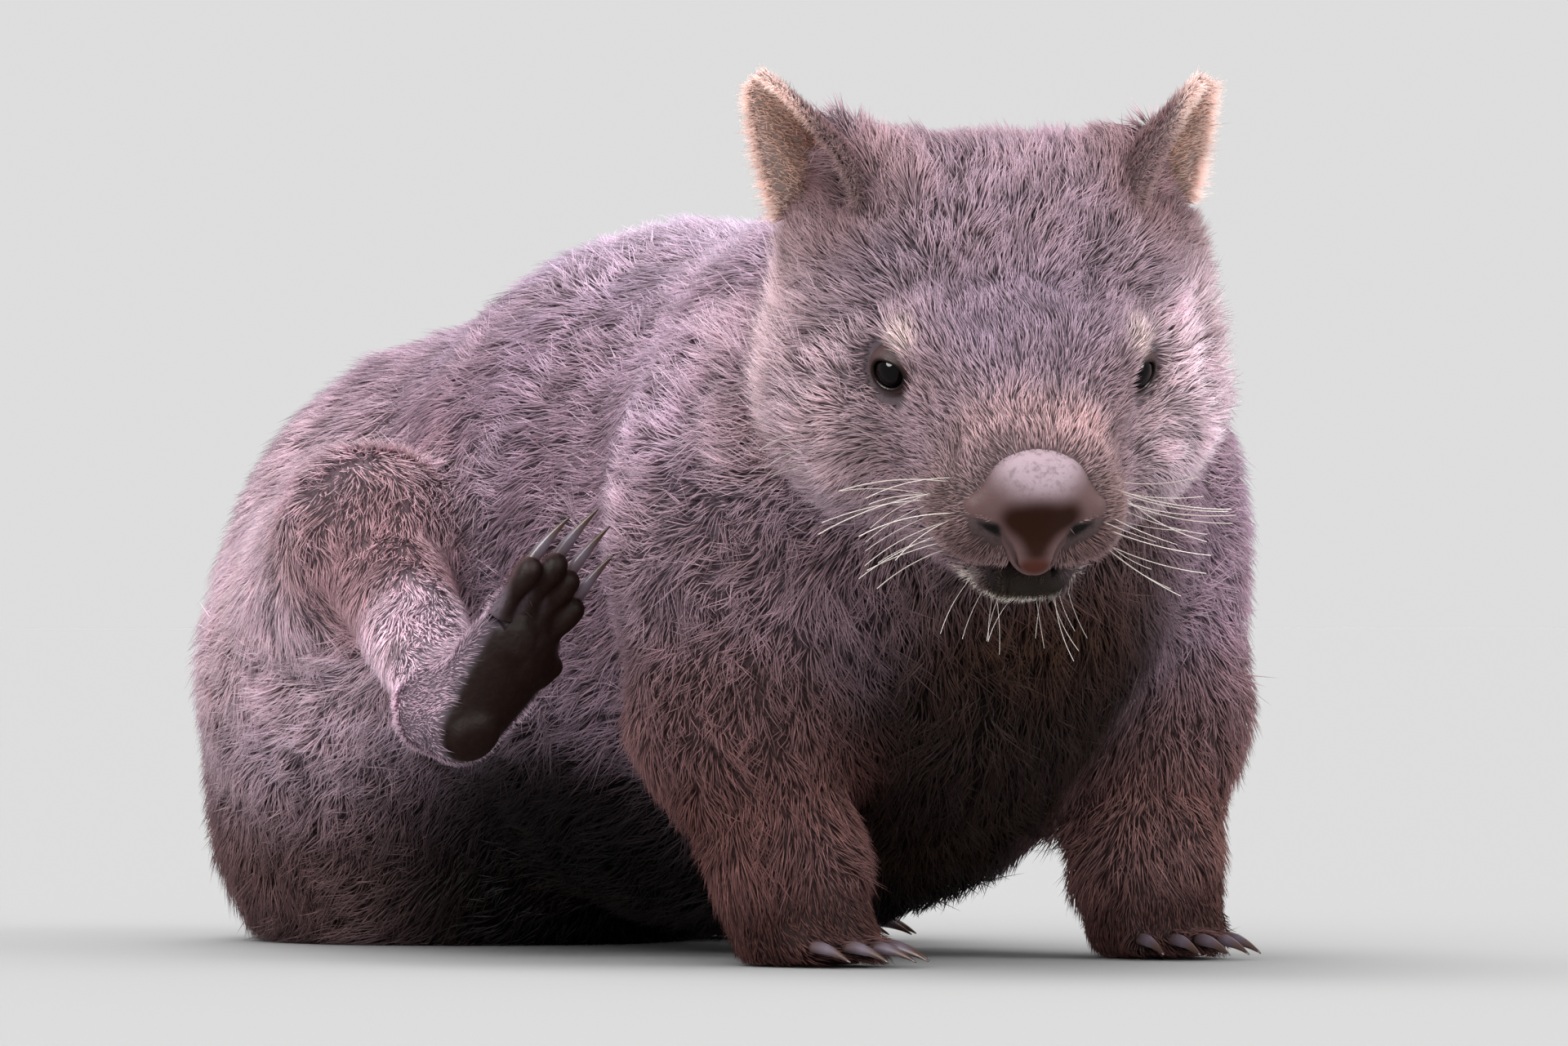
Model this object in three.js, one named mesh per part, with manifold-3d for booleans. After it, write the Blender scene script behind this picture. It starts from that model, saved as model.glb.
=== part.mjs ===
// A bare-nosed wombat at life size. It sits on its rump and scratches its side with its right hind foot.
// Millimetres. +X is the animal's left, +Y runs from chest to rump, +Z is up and the floor is Z = 0.
// The flesh is one smooth field of rounded forms. It is meshed a part at a time, and thin cuts divide it.
// Ears, eyelids, eyes and claws are closed meshes of their own, set in sockets in the flesh.

import * as THREE from "three";
import { mergeVertices } from "three/addons/utils/BufferGeometryUtils.js";
import Module from "manifold-3d";

const wasm = await Module();
wasm.setup();

// Driving dimensions
const withersHeight = 372;
const trunkHalfWidth = 150;
const rumpEnd = 556; // how far the rump reaches behind the forefeet
const headYaw = 27; // degrees, towards the animal's right
const headPitch = 30; // degrees, nose down
const eyeSpacing = 110;
const eyeRadius = 9;
const earWidth = 60;
const foreToes = 5;
const foreClaw = 22; // length of the longest fore claw
const hindClaw = 25;
const gap = 0.3; // left between pieces that touch

const half = gap / 2;
const far = 2000; // larger than the whole animal
const deg = THREE.MathUtils.degToRad;
const vec = (x, y, z) => new THREE.Vector3(x, y, z);
const both = (make) => [make(-1), make(1)]; // -1 is the animal's right, 1 its left
const sideName = (side) => (side < 0 ? "right" : "left");

// Rounded forms, each a signed distance in millimetres that is negative inside

function ellipsoid(x0, y0, z0, rx, ry, rz) {
  const least = Math.min(rx, ry, rz);
  return (x, y, z) => {
    const [px, py, pz] = [(x - x0) / rx, (y - y0) / ry, (z - z0) / rz];
    const near = Math.hypot(px, py, pz);
    if (near < 1e-6) return -least;
    return (near * (near - 1)) / Math.hypot(px / rx, py / ry, pz / rz);
  };
}

function taper(a, b, ra, rb) {
  const [bx, by, bz] = [b.x - a.x, b.y - a.y, b.z - a.z];
  const length2 = bx * bx + by * by + bz * bz;
  return (x, y, z) => {
    const [px, py, pz] = [x - a.x, y - a.y, z - a.z];
    const along = THREE.MathUtils.clamp((px * bx + py * by + pz * bz) / length2, 0, 1);
    const radius = ra + (rb - ra) * along;
    return Math.hypot(px - bx * along, py - by * along, pz - bz * along) - radius;
  };
}

function smoothMin(a, b, reach) {
  const h = Math.max(reach - Math.abs(a - b), 0) / reach;
  return Math.min(a, b) - (h * h * reach) / 4;
}

function blend(reach, ...forms) {
  return (x, y, z) => forms.reduce((d, form) => smoothMin(d, form(x, y, z), reach), 1e4);
}

function carve(reach, form, ...cuts) {
  return (x, y, z) => cuts.reduce((d, cut) => -smoothMin(-d, cut(x, y, z), reach), form(x, y, z));
}

function placed(matrix, form) {
  const e = matrix.clone().invert().elements;
  return (x, y, z) =>
    form(
      e[0] * x + e[4] * y + e[8] * z + e[12],
      e[1] * x + e[5] * y + e[9] * z + e[13],
      e[2] * x + e[6] * y + e[10] * z + e[14],
    );
}

// A frame whose +Z is the given up direction and whose -Y points forward as nearly as it can
function frameAt(origin, forward, up) {
  const z = up.clone().normalize();
  const x = forward.clone().negate().cross(z).normalize();
  const y = z.clone().cross(x);
  return new THREE.Matrix4().makeBasis(x, y, z).setPosition(origin);
}

// The head's own frame: the origin is midway between the eyes, +X left, +Y towards the nape, +Z up

const eyeLine = vec(-85, -150, 276);
const headFrame = new THREE.Matrix4()
  .makeTranslation(eyeLine.x, eyeLine.y, eyeLine.z)
  .multiply(new THREE.Matrix4().makeRotationZ(-deg(headYaw)))
  .multiply(new THREE.Matrix4().makeRotationX(deg(headPitch)));
const inHead = (x, y, z) => vec(x, y, z).applyMatrix4(headFrame);

// Trunk

const chest = { y: 58, top: withersHeight, bottom: 62, halfWidth: 140, halfLength: 138 };
const barrelHalfWidth = trunkHalfWidth - 6;
const barrel = { y: 225, top: withersHeight - 12, bottom: 14, halfWidth: barrelHalfWidth, halfLength: 190 };
const haunch = { y: rumpEnd - 160, top: 312, bottom: 10, halfWidth: trunkHalfWidth, halfLength: 152 };
const seat = { y: rumpEnd - 136, top: 196, bottom: -52, halfWidth: barrelHalfWidth, halfLength: 134 };

const swell = ({ y, top, bottom, halfWidth, halfLength }) =>
  ellipsoid(0, y, (top + bottom) / 2, halfWidth, halfLength, (top - bottom) / 2);

const belly = ellipsoid(20, 150, 110, 110, 150, 96);
const trunk = blend(46, swell(chest), swell(barrel), swell(haunch), swell(seat), belly);
const neck = taper(vec(0, 44, 226), inHead(0, 100, -44), 128, 92);

// Head

const skull = blend(
  20,
  ...both((side) => ellipsoid(side * 38, 80, 8, 60, 66, 60)), // cranium
  ellipsoid(0, 80, 14, 60, 62, 60), // crown
  taper(vec(-46, 92, 38), vec(-80, 94, 78), 30, 11), // root of the right ear
  taper(vec(46, 92, 42), vec(74, 102, 82), 30, 12), // root of the left ear
  ellipsoid(0, 12, -2, 58, 56, 42), // forehead
  ...both((side) => ellipsoid(side * 44, 0, 17, 17, 22, 12)), // brows
  ...both((side) => taper(vec(side * 18, 0, -10), vec(side * 13, -60, -15), 37, 23)), // muzzle
  ...both((side) => ellipsoid(side * 58, 48, -34, 50, 60, 54)), // cheeks
  ...both((side) => ellipsoid(side * 20, -62, -38, 23, 26, 22)), // lip pads
  ...both((side) => taper(vec(side * 34, -4, -44), vec(side * 22, -56, -44), 24, 18)), // upper lips
);
const jaw = blend(
  18,
  ...both((side) => taper(vec(side * 30, 34, -66), vec(side * 10, -62, -62), 38, 19)),
  ...both((side) => ellipsoid(side * 52, 46, -52, 42, 50, 46)),
);
const eyeCentre = (side) => vec((side * eyeSpacing) / 2, 2, 0);
const eyeSocket = (side) => ellipsoid(side * (eyeSpacing / 2 + 8), -7, -1, 13, 14, 11);
const carvedHead = carve(8, blend(14, skull, jaw), ...both(eyeSocket));

// Nose: a bare pad, domed above and narrowing to a point below, with a slit nostril on each side

const nosePad = blend(
  9,
  ellipsoid(0, -75, -16, 27, 18, 16),
  ...both((side) => taper(vec(side * 18, -76, -24), vec(side * 5, -83, -43), 10, 8)),
  taper(vec(0, -78, -24), vec(0, -84, -44), 16, 9),
);
const nostril = (side) => {
  const slit = [vec(side * 27, -84, -25), vec(side * 16, -92, -33), vec(side * 7, -96, -43)];
  return blend(2, taper(slit[0], slit[1], 3, 4.6), taper(slit[1], slit[2], 4.6, 3));
};

// Fore limbs

const foreLegs = [
  { side: -1, shoulder: vec(-94, 42, 200), elbow: vec(-112, 36, 118), wrist: vec(-98, 10, 44), toeIn: 10 },
  { side: 1, shoulder: vec(111, 40, 206), elbow: vec(128, 32, 118), wrist: vec(109, 8, 44), toeIn: 8 },
];
const footOnFloor = ({ wrist, side, toeIn }) =>
  new THREE.Matrix4().makeRotationZ(-side * deg(toeIn)).setPosition(wrist.x, wrist.y, 0);

// Toes in a foot's own frame: the foot points along -Y and +Z is the top of the foot
const foreToe = (i) => {
  const spread = i - (foreToes - 1) / 2;
  const reach = 52 - 3.6 * spread * spread;
  return { base: vec(spread * 9.5, -26, 12), tip: vec(spread * 11.5, -reach, 8.5), radius: 8.2 };
};
const pawForm = blend(
  9,
  ellipsoid(0, -12, 16, 29, 34, 22),
  ...Array.from({ length: foreToes }, (_, i) => foreToe(i)).map((toe) =>
    taper(toe.base, toe.tip, toe.radius + 1, toe.radius),
  ),
);
const foreLimb = ({ shoulder, elbow, wrist, side }) =>
  blend(
    26,
    ellipsoid(shoulder.x, shoulder.y, shoulder.z, 69, 66, 104),
    taper(vec(shoulder.x + side * 6, shoulder.y, 186), elbow, 56, 47),
    taper(elbow, wrist, 47, 34),
    taper(wrist, vec(wrist.x, wrist.y - 6, 18), 33, 27),
  );

// Hind limbs: the right one is raised to scratch, the left one is folded under the flank

const raisedFoot = frameAt(vec(-223, 105, 92), vec(0.427, -0.348, 0.835), vec(0.021, 0.927, 0.376));
const raisedAnkle = vec(0, -24, 34).applyMatrix4(raisedFoot);
const raised = { hip: vec(-84, 385, 140), knee: vec(-172, 262, 202), ankle: raisedAnkle };
const folded = { hip: vec(92, 392, 140), knee: vec(124, 286, 92), ankle: vec(124, 372, 34) };
const foldedFoot = frameAt(vec(128, 396, 0), vec(0.08, -1, 0), vec(0, 0, 1));

// Digit 1 is short and has no claw. It lies on the inner side of the foot.
const hindToe = (digit, side) => {
  const inward = -side;
  const spread = 3 - digit;
  const reach = [64, 92, 102, 106, 98][digit - 1];
  const tip = vec(inward * spread * 11.5, -reach, digit === 1 ? 12 : 9);
  return { base: vec(inward * spread * 9, -58, 13), tip, radius: digit === 1 ? 6.5 : 8 };
};
const hindDigits = [1, 2, 3, 4, 5];
const clawedDigits = hindDigits.slice(1);
const hindForm = (side) =>
  blend(
    9,
    ellipsoid(0, -19, 15, 20, 21, 16),
    ellipsoid(0, -50, 15, 26, 44, 17),
    ...hindDigits
      .map((digit) => hindToe(digit, side))
      .map((toe) => taper(toe.base, toe.tip, toe.radius + 1, toe.radius)),
  );

const raisedLeg = blend(
  12,
  taper(raised.knee, raised.ankle, 32, 22),
  placed(raisedFoot, blend(12, hindForm(-1), taper(vec(0, -26, 22), vec(0, -16, 36), 19, 21))),
);
const foldedShank = taper(folded.knee, folded.ankle, 46, 30);

const tail = taper(vec(0, rumpEnd - 24, 92), vec(0, rumpEnd + 2, 74), 16, 9);

const trunkAndLimbs = blend(
  28,
  blend(40, trunk, neck),
  ...foreLegs.map(foreLimb),
  taper(raised.hip, raised.knee, 92, 48),
  taper(folded.hip, folded.knee, 88, 54),
);
const core = blend(
  14,
  trunkAndLimbs,
  foldedShank,
  placed(foldedFoot, hindForm(1)),
  ...foreLegs.map((leg) => placed(footOnFloor(leg), pawForm)),
  tail,
);
const headJoin = 26;
const flesh = (head) => blend(9, blend(headJoin, core, placed(headFrame, head)), raisedLeg);
const body = flesh(carvedHead);
const bodyWithoutJaw = flesh(carve(8, skull, ...both(eyeSocket)));
const bodyWithoutSkull = flesh(jaw);

// Meshing: surface nets over a grid, each vertex then moved onto the surface

function netOf(field, low, high, cell) {
  const [nx, ny, nz] = [0, 1, 2].map((i) => Math.ceil((high[i] - low[i]) / cell) + 1);
  const strides = [1, nx, nx * ny];
  const at = (i, j, k) => i + nx * (j + ny * k);
  const values = new Float64Array(nx * ny * nz);
  for (let k = 0; k < nz; k += 1)
    for (let j = 0; j < ny; j += 1)
      for (let i = 0; i < nx; i += 1) {
        const edge = !i || !j || !k || i === nx - 1 || j === ny - 1 || k === nz - 1;
        const d = field(low[0] + i * cell, low[1] + j * cell, low[2] + k * cell);
        values[at(i, j, k)] = edge ? Math.max(d, cell / 4) : d;
      }
  const corners = [0, 1, nx, nx + 1].flatMap((n) => [n, n + nx * ny]);
  const vertexOf = new Int32Array(nx * ny * nz).fill(-1);
  const points = [];
  for (let k = 0; k < nz - 1; k += 1)
    for (let j = 0; j < ny - 1; j += 1)
      for (let i = 0; i < nx - 1; i += 1) {
        const n = at(i, j, k);
        const inside = corners.filter((c) => values[n + c] < 0).length;
        if (inside === 0 || inside === 8) continue;
        vertexOf[n] = points.length;
        points.push(crossing(values, n, [i, j, k], strides, low, cell));
      }
  const triangles = [];
  for (let k = 0; k < nz - 1; k += 1)
    for (let j = 0; j < ny - 1; j += 1)
      for (let i = 0; i < nx - 1; i += 1)
        for (let axis = 0; axis < 3; axis += 1) {
          const n = at(i, j, k);
          const [a, b] = [values[n] < 0, values[n + strides[axis]] < 0];
          if (a === b) continue;
          const [u, w] = [strides[(axis + 1) % 3], strides[(axis + 2) % 3]];
          const ring = [n, n - u, n - u - w, n - w].map((c) => vertexOf[c]);
          if (b) ring.reverse();
          triangles.push(...splitQuad(ring, points));
        }
  const top = [nx, ny, nz].map((count, i) => low[i] + (count - 1) * cell);
  const closed = (x, y, z) =>
    Math.max(field(x, y, z), low[0] - x, x - top[0], low[1] - y, y - top[1], low[2] - z, z - top[2]);
  return { points: points.map((p) => ontoSurface(closed, p, cell)), triangles };
}

// The mean of the points where the cell's edges cross the surface
function crossing(values, n, index, strides, low, cell) {
  const sum = [0, 0, 0];
  let hits = 0;
  for (let axis = 0; axis < 3; axis += 1)
    for (const s of [0, 1])
      for (const t of [0, 1]) {
        const [u, w] = [(axis + 1) % 3, (axis + 2) % 3];
        const from = n + s * strides[u] + t * strides[w];
        const [a, b] = [values[from], values[from + strides[axis]]];
        if (a < 0 === b < 0) continue;
        sum[axis] += a / (a - b);
        sum[u] += s;
        sum[w] += t;
        hits += 1;
      }
  return sum.map((total, i) => low[i] + (index[i] + total / hits) * cell);
}

function slopeAt(field, [x, y, z], step) {
  return [
    (field(x + step, y, z) - field(x - step, y, z)) / (2 * step),
    (field(x, y + step, z) - field(x, y - step, z)) / (2 * step),
    (field(x, y, z + step) - field(x, y, z - step)) / (2 * step),
  ];
}

function ontoSurface(field, point, cell) {
  let p = point;
  for (let turn = 0; turn < 3; turn += 1) {
    const g = slopeAt(field, p, cell / 50);
    const steepness = Math.max(g[0] * g[0] + g[1] * g[1] + g[2] * g[2], 0.2);
    const move = THREE.MathUtils.clamp(field(...p) / steepness, -cell / 3, cell / 3);
    p = p.map((value, i) => value - g[i] * move);
  }
  return p;
}

function splitQuad([a, b, c, d], points) {
  const apart = (m, n) => Math.hypot(...[0, 1, 2].map((i) => points[m][i] - points[n][i]));
  return apart(a, c) < apart(b, d) ? [a, b, c, a, c, d] : [a, b, d, b, c, d];
}

// Solids

function solid(points, triangles) {
  return new wasm.Manifold(
    new wasm.Mesh({
      numProp: 3,
      vertProperties: new Float32Array(points.flat()),
      triVerts: new Uint32Array(triangles),
    }),
  );
}

function solidOf(geometry) {
  geometry.deleteAttribute("normal");
  geometry.deleteAttribute("uv");
  const merged = mergeVertices(geometry, 1e-4);
  const { array } = merged.attributes.position;
  const points = Array.from({ length: array.length / 3 }, (_, i) => [...array.slice(3 * i, 3 * i + 3)]);
  return solid(points, [...merged.index.array]);
}

const moulded = (field, low, high, cell) => {
  const net = netOf(field, low, high, cell);
  return solid(net.points, net.triangles);
};

// The same form drawn in and swelled out by half the gap, for parting one node from its neighbour
function parting(field, low, high, cell, inward = -half, outward = half) {
  const net = netOf(field, low, high, cell);
  const shifted = (shift) =>
    net.points.map((p) => {
      const g = slopeAt(field, p, 0.5);
      const size = Math.hypot(...g);
      return p.map((value, i) => value + (g[i] / size) * shift);
    });
  return { inner: solid(shifted(inward), net.triangles), outer: solid(shifted(outward), net.triangles) };
}

// All of space on the side of a plane that its direction points to, from a distance along that direction
function beyond(point, direction, distance = 0) {
  const n = direction.clone().normalize();
  const turn = new THREE.Quaternion().setFromUnitVectors(vec(0, 0, 1), n);
  const box = new THREE.BoxGeometry(2 * far, 2 * far, far).translate(0, 0, far / 2 + distance);
  return solidOf(box.applyQuaternion(turn).translate(point.x, point.y, point.z));
}

function parted(point, direction) {
  return { inner: beyond(point, direction, half), outer: beyond(point, direction, -half) };
}

// A closed solid through rings of equal even size. Round joins the last ring to the first.
function loft(rings, round = false) {
  const sides = rings[0].length;
  const count = rings.length;
  const at = (r, s) => (r % count) * sides + (s % sides);
  const triangles = [];
  for (let r = 0; r < (round ? count : count - 1); r += 1)
    for (let s = 0; s < sides; s += 1) {
      triangles.push(at(r, s), at(r, s + 1), at(r + 1, s + 1));
      triangles.push(at(r, s), at(r + 1, s + 1), at(r + 1, s));
    }
  for (let s = 0; !round && s < sides / 2 - 1; s += 1) {
    const [a, b, c, d] = [s, s + 1, sides - 2 - s, sides - 1 - s];
    triangles.push(at(0, a), at(0, d), at(0, c), at(0, a), at(0, c), at(0, b));
    const last = count - 1;
    triangles.push(at(last, a), at(last, b), at(last, c), at(last, a), at(last, c), at(last, d));
  }
  const points = rings.flat().map((p) => [p.x, p.y, p.z]);
  return solid(points, volumeOf(points, triangles) < 0 ? triangles.reverse() : triangles);
}

function volumeOf(points, triangles) {
  let sum = 0;
  for (let i = 0; i < triangles.length; i += 3) {
    const [a, b, c] = [0, 1, 2].map((k) => vec(...points[triangles[i + k]]));
    sum += a.dot(b.cross(c));
  }
  return sum;
}

// Ears: a pointed leaf, hollowed towards the opening. Its socket is swelled by grow and not hollowed.

const ears = [
  { side: -1, base: vec(-76, 76, 40), tip: vec(-117, 66, 115), opening: vec(-0.7, -0.72, 0.1) },
  { side: 1, base: vec(70, 76, 40), tip: vec(87, 66, 115), opening: vec(0.76, -0.65, 0.1) },
];

function earSolid({ base, tip, opening }, grow = 0) {
  const hollow = grow > 0 ? 0 : 1;
  const axis = tip.clone().sub(base);
  const reach = axis.length();
  axis.normalize();
  const across = axis.clone().cross(opening).normalize();
  const out = across.clone().cross(axis).normalize();
  const steps = 8;
  const columns = 7;
  const rings = [];
  for (let i = 0; i <= steps; i += 1) {
    const t = THREE.MathUtils.lerp(-0.16, 1, i / steps);
    const fill = Math.sqrt(Math.max(1 - Math.max(t, 0) ** 2, 0));
    const halfWidth = (earWidth / 2) * fill * (1 - 0.42 * Math.max(t, 0)) + 1.5 + grow;
    const cup = 24 * (1 - Math.max(t, 0)) + 2;
    const ring = (face) =>
      Array.from({ length: columns }, (_, k) => {
        const u = (2 * k) / (columns - 1) - 1;
        const thick = (3.4 * (1 - 0.6 * t) * (1 - 0.5 * u * u) + 0.4 + grow) * face;
        return base
          .clone()
          .addScaledVector(axis, reach * t + grow * ((i === steps) - (i === 0)))
          .addScaledVector(across, halfWidth * u)
          .addScaledVector(out, thick - cup * (1 - u * u) * (face > 0 ? hollow : 1));
      });
    rings.push([...ring(1), ...ring(-1).reverse()]);
  }
  return loft(rings.map((ring) => ring.map((p) => p.applyMatrix4(headFrame))));
}

// Eyes, each with a ring of lid whose opening is an almond

function eyeFrame(side) {
  const look = vec(side * 0.72, -0.69, 0.05);
  return headFrame.clone().multiply(frameAt(eyeCentre(side), look, vec(0, 0, 1)));
}

function eyeball(side, grow = 0) {
  const ball = new THREE.SphereGeometry(eyeRadius + grow, 12, 8).rotateX(Math.PI / 2);
  return solidOf(ball.applyMatrix4(eyeFrame(side)));
}

function lidSolid(side, grow = 0) {
  const around = 16;
  const near = eyeRadius + 2 * gap;
  const rings = Array.from({ length: around }, (_, i) => {
    const turn = (2 * Math.PI * i) / around;
    const open = deg(44 + 9 * Math.cos(turn) ** 2 - 4 * Math.sin(turn));
    const section = [
      [open - grow / near, near - grow],
      [(open + deg(88)) / 2, near - grow],
      [deg(88) + grow / near, near - grow],
      [deg(88) + grow / near, near + 3 + grow],
      [open + deg(10), near + 2.6 + grow],
      [open + deg(1) - grow / near, near + 1.8 + grow],
      [open - deg(2) - grow / near, near + 0.9],
    ];
    const direction = (angle) =>
      vec(Math.sin(angle) * Math.cos(turn), -Math.cos(angle), Math.sin(angle) * Math.sin(turn));
    return section.map(([angle, radius]) => direction(angle).multiplyScalar(radius));
  });
  const frame = eyeFrame(side);
  return loft(rings.map((ring) => ring.map((p) => p.applyMatrix4(frame))), true);
}

// Claws: flattened, tapering and curved down. The root is sunk in the toe.

function clawSolid(frame, { tip, radius }, length, spread, grow = 0) {
  const root = 8;
  const stations = [0, 0.45, 1];
  const fullness = [1, 1, 0.14];
  const rings = stations.map((t, i) => {
    const along = (root + length + grow) * t;
    const centre = vec(tip.x + spread * along, tip.y - radius + root - along, tip.z + 1.5 - 6.5 * t * t);
    return Array.from({ length: 6 }, (_, k) => {
      const turn = (Math.PI * (2 * k + 1)) / 6;
      const width = 3.9 * fullness[i] + grow;
      const height = 3.1 * fullness[i] + grow;
      return centre.clone().add(vec(width * Math.cos(turn), 0, height * Math.sin(turn)));
    });
  });
  return loft(rings.map((ring) => ring.map((p) => p.applyMatrix4(frame))));
}

const foreClaws = (frame, grow) =>
  Array.from({ length: foreToes }, (_, i) => {
    const spread = i - (foreToes - 1) / 2;
    return clawSolid(frame, foreToe(i), foreClaw - 1.2 * Math.abs(spread), spread * 0.06, grow);
  });
const hindClaws = (frame, side, grow) =>
  clawedDigits.map((digit) => {
    const length = hindClaw - (digit === 5 ? 2 : 0);
    return clawSolid(frame, hindToe(digit, side), length, 0, grow);
  });

// Cuts

const floor = beyond(vec(0, 0, 0), vec(0, 0, 1));
const neckCut = parted(vec(-10, -40, 250), vec(-0.3, -0.75, 0.6)); // inner and outer lie on the head's side
const rumpCut = parted(vec(0, 300, 0), vec(0, 1, 0)); // on the rump's side
const headCut = parting(
  placed(headFrame, ellipsoid(0, 22, -2, 165, 130, 134)),
  [-300, -340, 60],
  [140, 60, 480],
  36,
);
const tailCut = parting(ellipsoid(0, rumpEnd + 12, 72, 34, 30, 34), [-44, 516, 30], [44, 604, 112], 11);

const foreRegion = ({ shoulder, elbow, wrist, side }) => {
  const x = shoulder.x + side * 52;
  const field = blend(
    20,
    ellipsoid(x, shoulder.y + 4, 196, 96, 88, 122),
    taper(elbow, wrist, 66, 58),
    taper(wrist, vec(wrist.x, wrist.y - 18, -40), 62, 66),
  );
  const centre = side * 130;
  return parting(field, [centre - 130, -120, -120], [centre + 130, 180, 350], 38);
};
const foreRegions = foreLegs.map(foreRegion);

const raisedRegion = parting(
  blend(
    10,
    taper(vec(-150, 392, 130), vec(-206, 268, 204), 104, 72),
    taper(raised.knee, raised.ankle, 40, 30),
    placed(raisedFoot, ellipsoid(0, -56, 22, 42, 92, 38)),
  ),
  [-300, 20, -20],
  [-20, 520, 330],
  32,
);
const foldedRegion = parting(
  blend(
    16,
    taper(vec(150, 392, 128), vec(178, 282, 96), 104, 80),
    placed(foldedFoot, ellipsoid(0, -52, 8, 48, 92, 60)),
  ),
  [30, 160, -70],
  [290, 520, 280],
  36,
);

const elbowCut = parted(vec(0, 0, 115), vec(0, 0, -1));
const wristCut = parted(vec(0, 0, 42), vec(0, 0, -1));
const raisedKneeCut = parted(
  raised.knee.clone().lerp(raised.ankle, 0.16),
  raised.ankle.clone().sub(raised.knee),
);
const raisedAnkleCut = parted(
  vec(0, 0, 31).applyMatrix4(raisedFoot),
  vec(0, 0, -1).transformDirection(raisedFoot),
);
const foldedKneeCut = parted(vec(124, 300, 72), vec(0.1, 0, -1));
const foldedAnkleCut = parted(vec(124, 330, 38), vec(0, 0, -1));

// The line of the mouth, seen from the side: lower in front, rising to the corner
const mouthEnd = -30;
const mouthHeight = (y) => -61 + 0.08 * (y + 96);
const sideways = new THREE.Matrix4().makeBasis(vec(0, 1, 0), vec(0, 0, 1), vec(1, 0, 0));

function mouthRegion(back, upward, grow) {
  const edge = (y) => new THREE.Vector2(y, mouthHeight(y) - upward * grow);
  const line = [back + grow, -60, -80, -160].map(edge);
  const end = upward * 160;
  const outline = [...line, new THREE.Vector2(-160, end), new THREE.Vector2(back + grow, end)];
  const block = new THREE.ExtrudeGeometry(new THREE.Shape(outline), { depth: 400, bevelEnabled: false });
  return solidOf(block.translate(0, 0, -200).applyMatrix4(sideways).applyMatrix4(headFrame));
}
const split = (back, upward) => ({
  inner: mouthRegion(back, upward, -half),
  outer: mouthRegion(back, upward, half),
});
const muzzleRegion = split(mouthEnd, 1);
const jawRegion = split(mouthEnd + 24, -1);

// Finishes
const finish = (color, roughness) => new THREE.MeshStandardMaterial({ color, roughness, metalness: 0 });
const backCoat = () => finish("#a08a92", 0.9);
const faceCoat = () => finish("#97828a", 0.9);
const legCoat = () => finish("#5a4443", 0.92);
const bareSkin = () => finish("#6d4a44", 0.6);
const horn = () => finish("#4a3634", 0.45);
const eyeFinish = () => finish("#120c0c", 0.08);

// Nodes

const group = new THREE.Group();

// Cutting leaves slivers and pinched edges. An edge shorter than the limit is drawn together to one point,
// and separate points closer than that are each pulled back into their own side of the surface.
const shortest = 0.004;
const pullBack = 0.05;

function cleaned({ vertProperties, triVerts }) {
  const points = Array.from({ length: vertProperties.length / 3 }, (_, i) =>
    vec(...vertProperties.subarray(3 * i, 3 * i + 3)),
  );
  const joined = points.map((_, i) => i);
  const rootOf = (i) => (joined[i] === i ? i : rootOf(joined[i]));
  const corners = (t) => [triVerts[t], triVerts[t + 1], triVerts[t + 2]];
  for (let t = 0; t < triVerts.length; t += 3) {
    const [a, b, c] = corners(t);
    if (points[a].distanceTo(points[b]) < shortest) joined[rootOf(a)] = rootOf(b);
    if (points[b].distanceTo(points[c]) < shortest) joined[rootOf(b)] = rootOf(c);
  }
  const faces = new Map(); // two faces left back to back on the same points cancel out
  for (let t = 0; t < triVerts.length; t += 3) {
    const face = corners(t).map(rootOf);
    if (new Set(face).size < 3) continue;
    const key = [...face].sort().join();
    if (faces.has(key)) faces.delete(key);
    else faces.set(key, face);
  }
  const index = [...faces.values()].flat();
  const used = [...new Set(index)].sort((a, b) => points[a].x - points[b].x);
  const pinched = new Set();
  used.forEach((i, k) => {
    for (let m = k + 1; m < used.length && points[used[m]].x - points[i].x < shortest; m += 1)
      if (points[used[m]].distanceTo(points[i]) < shortest) pinched.add(i).add(used[m]);
  });
  const moved = new Map();
  for (const i of pinched) {
    const ring = [...faces.values()].filter((face) => face.includes(i)).flat();
    const middle = ring.reduce((sum, n) => sum.add(points[n]), vec(0, 0, 0)).divideScalar(ring.length);
    moved.set(i, points[i].clone().add(middle.sub(points[i]).setLength(pullBack)));
  }
  moved.forEach((point, i) => points[i].copy(point));
  return new THREE.BufferGeometry().setFromPoints(points).setIndex(index);
}

function addNode(name, shape, material) {
  const pieces = shape.decompose().sort((a, b) => b.volume() - a.volume());
  const geometry = cleaned(pieces[0].getMesh());
  const mesh = new THREE.Mesh(geometry, material);
  mesh.name = name;
  group.add(mesh);
}

const within = (shape, ...regions) => regions.reduce((kept, region) => kept.intersect(region), shape);
const clearOf = (shape, ...regions) => regions.reduce((kept, region) => kept.subtract(region), shape);

const headLow = [-260, -300, 80];
const headHigh = [100, 60, 440];
const earSockets = ears.map((ear) => earSolid(ear, gap));
const eyeSockets = both((side) => eyeball(side, gap).add(lidSolid(side, gap)));
const noseLow = [-160, -250, 170];
const noseHigh = [-60, -145, 270];
const nosePart = parting(placed(headFrame, nosePad), noseLow, noseHigh, 5.8, 0, gap);
const nostrils = moulded(placed(headFrame, blend(1, ...both(nostril))), noseLow, noseHigh, 4.2);

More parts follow.
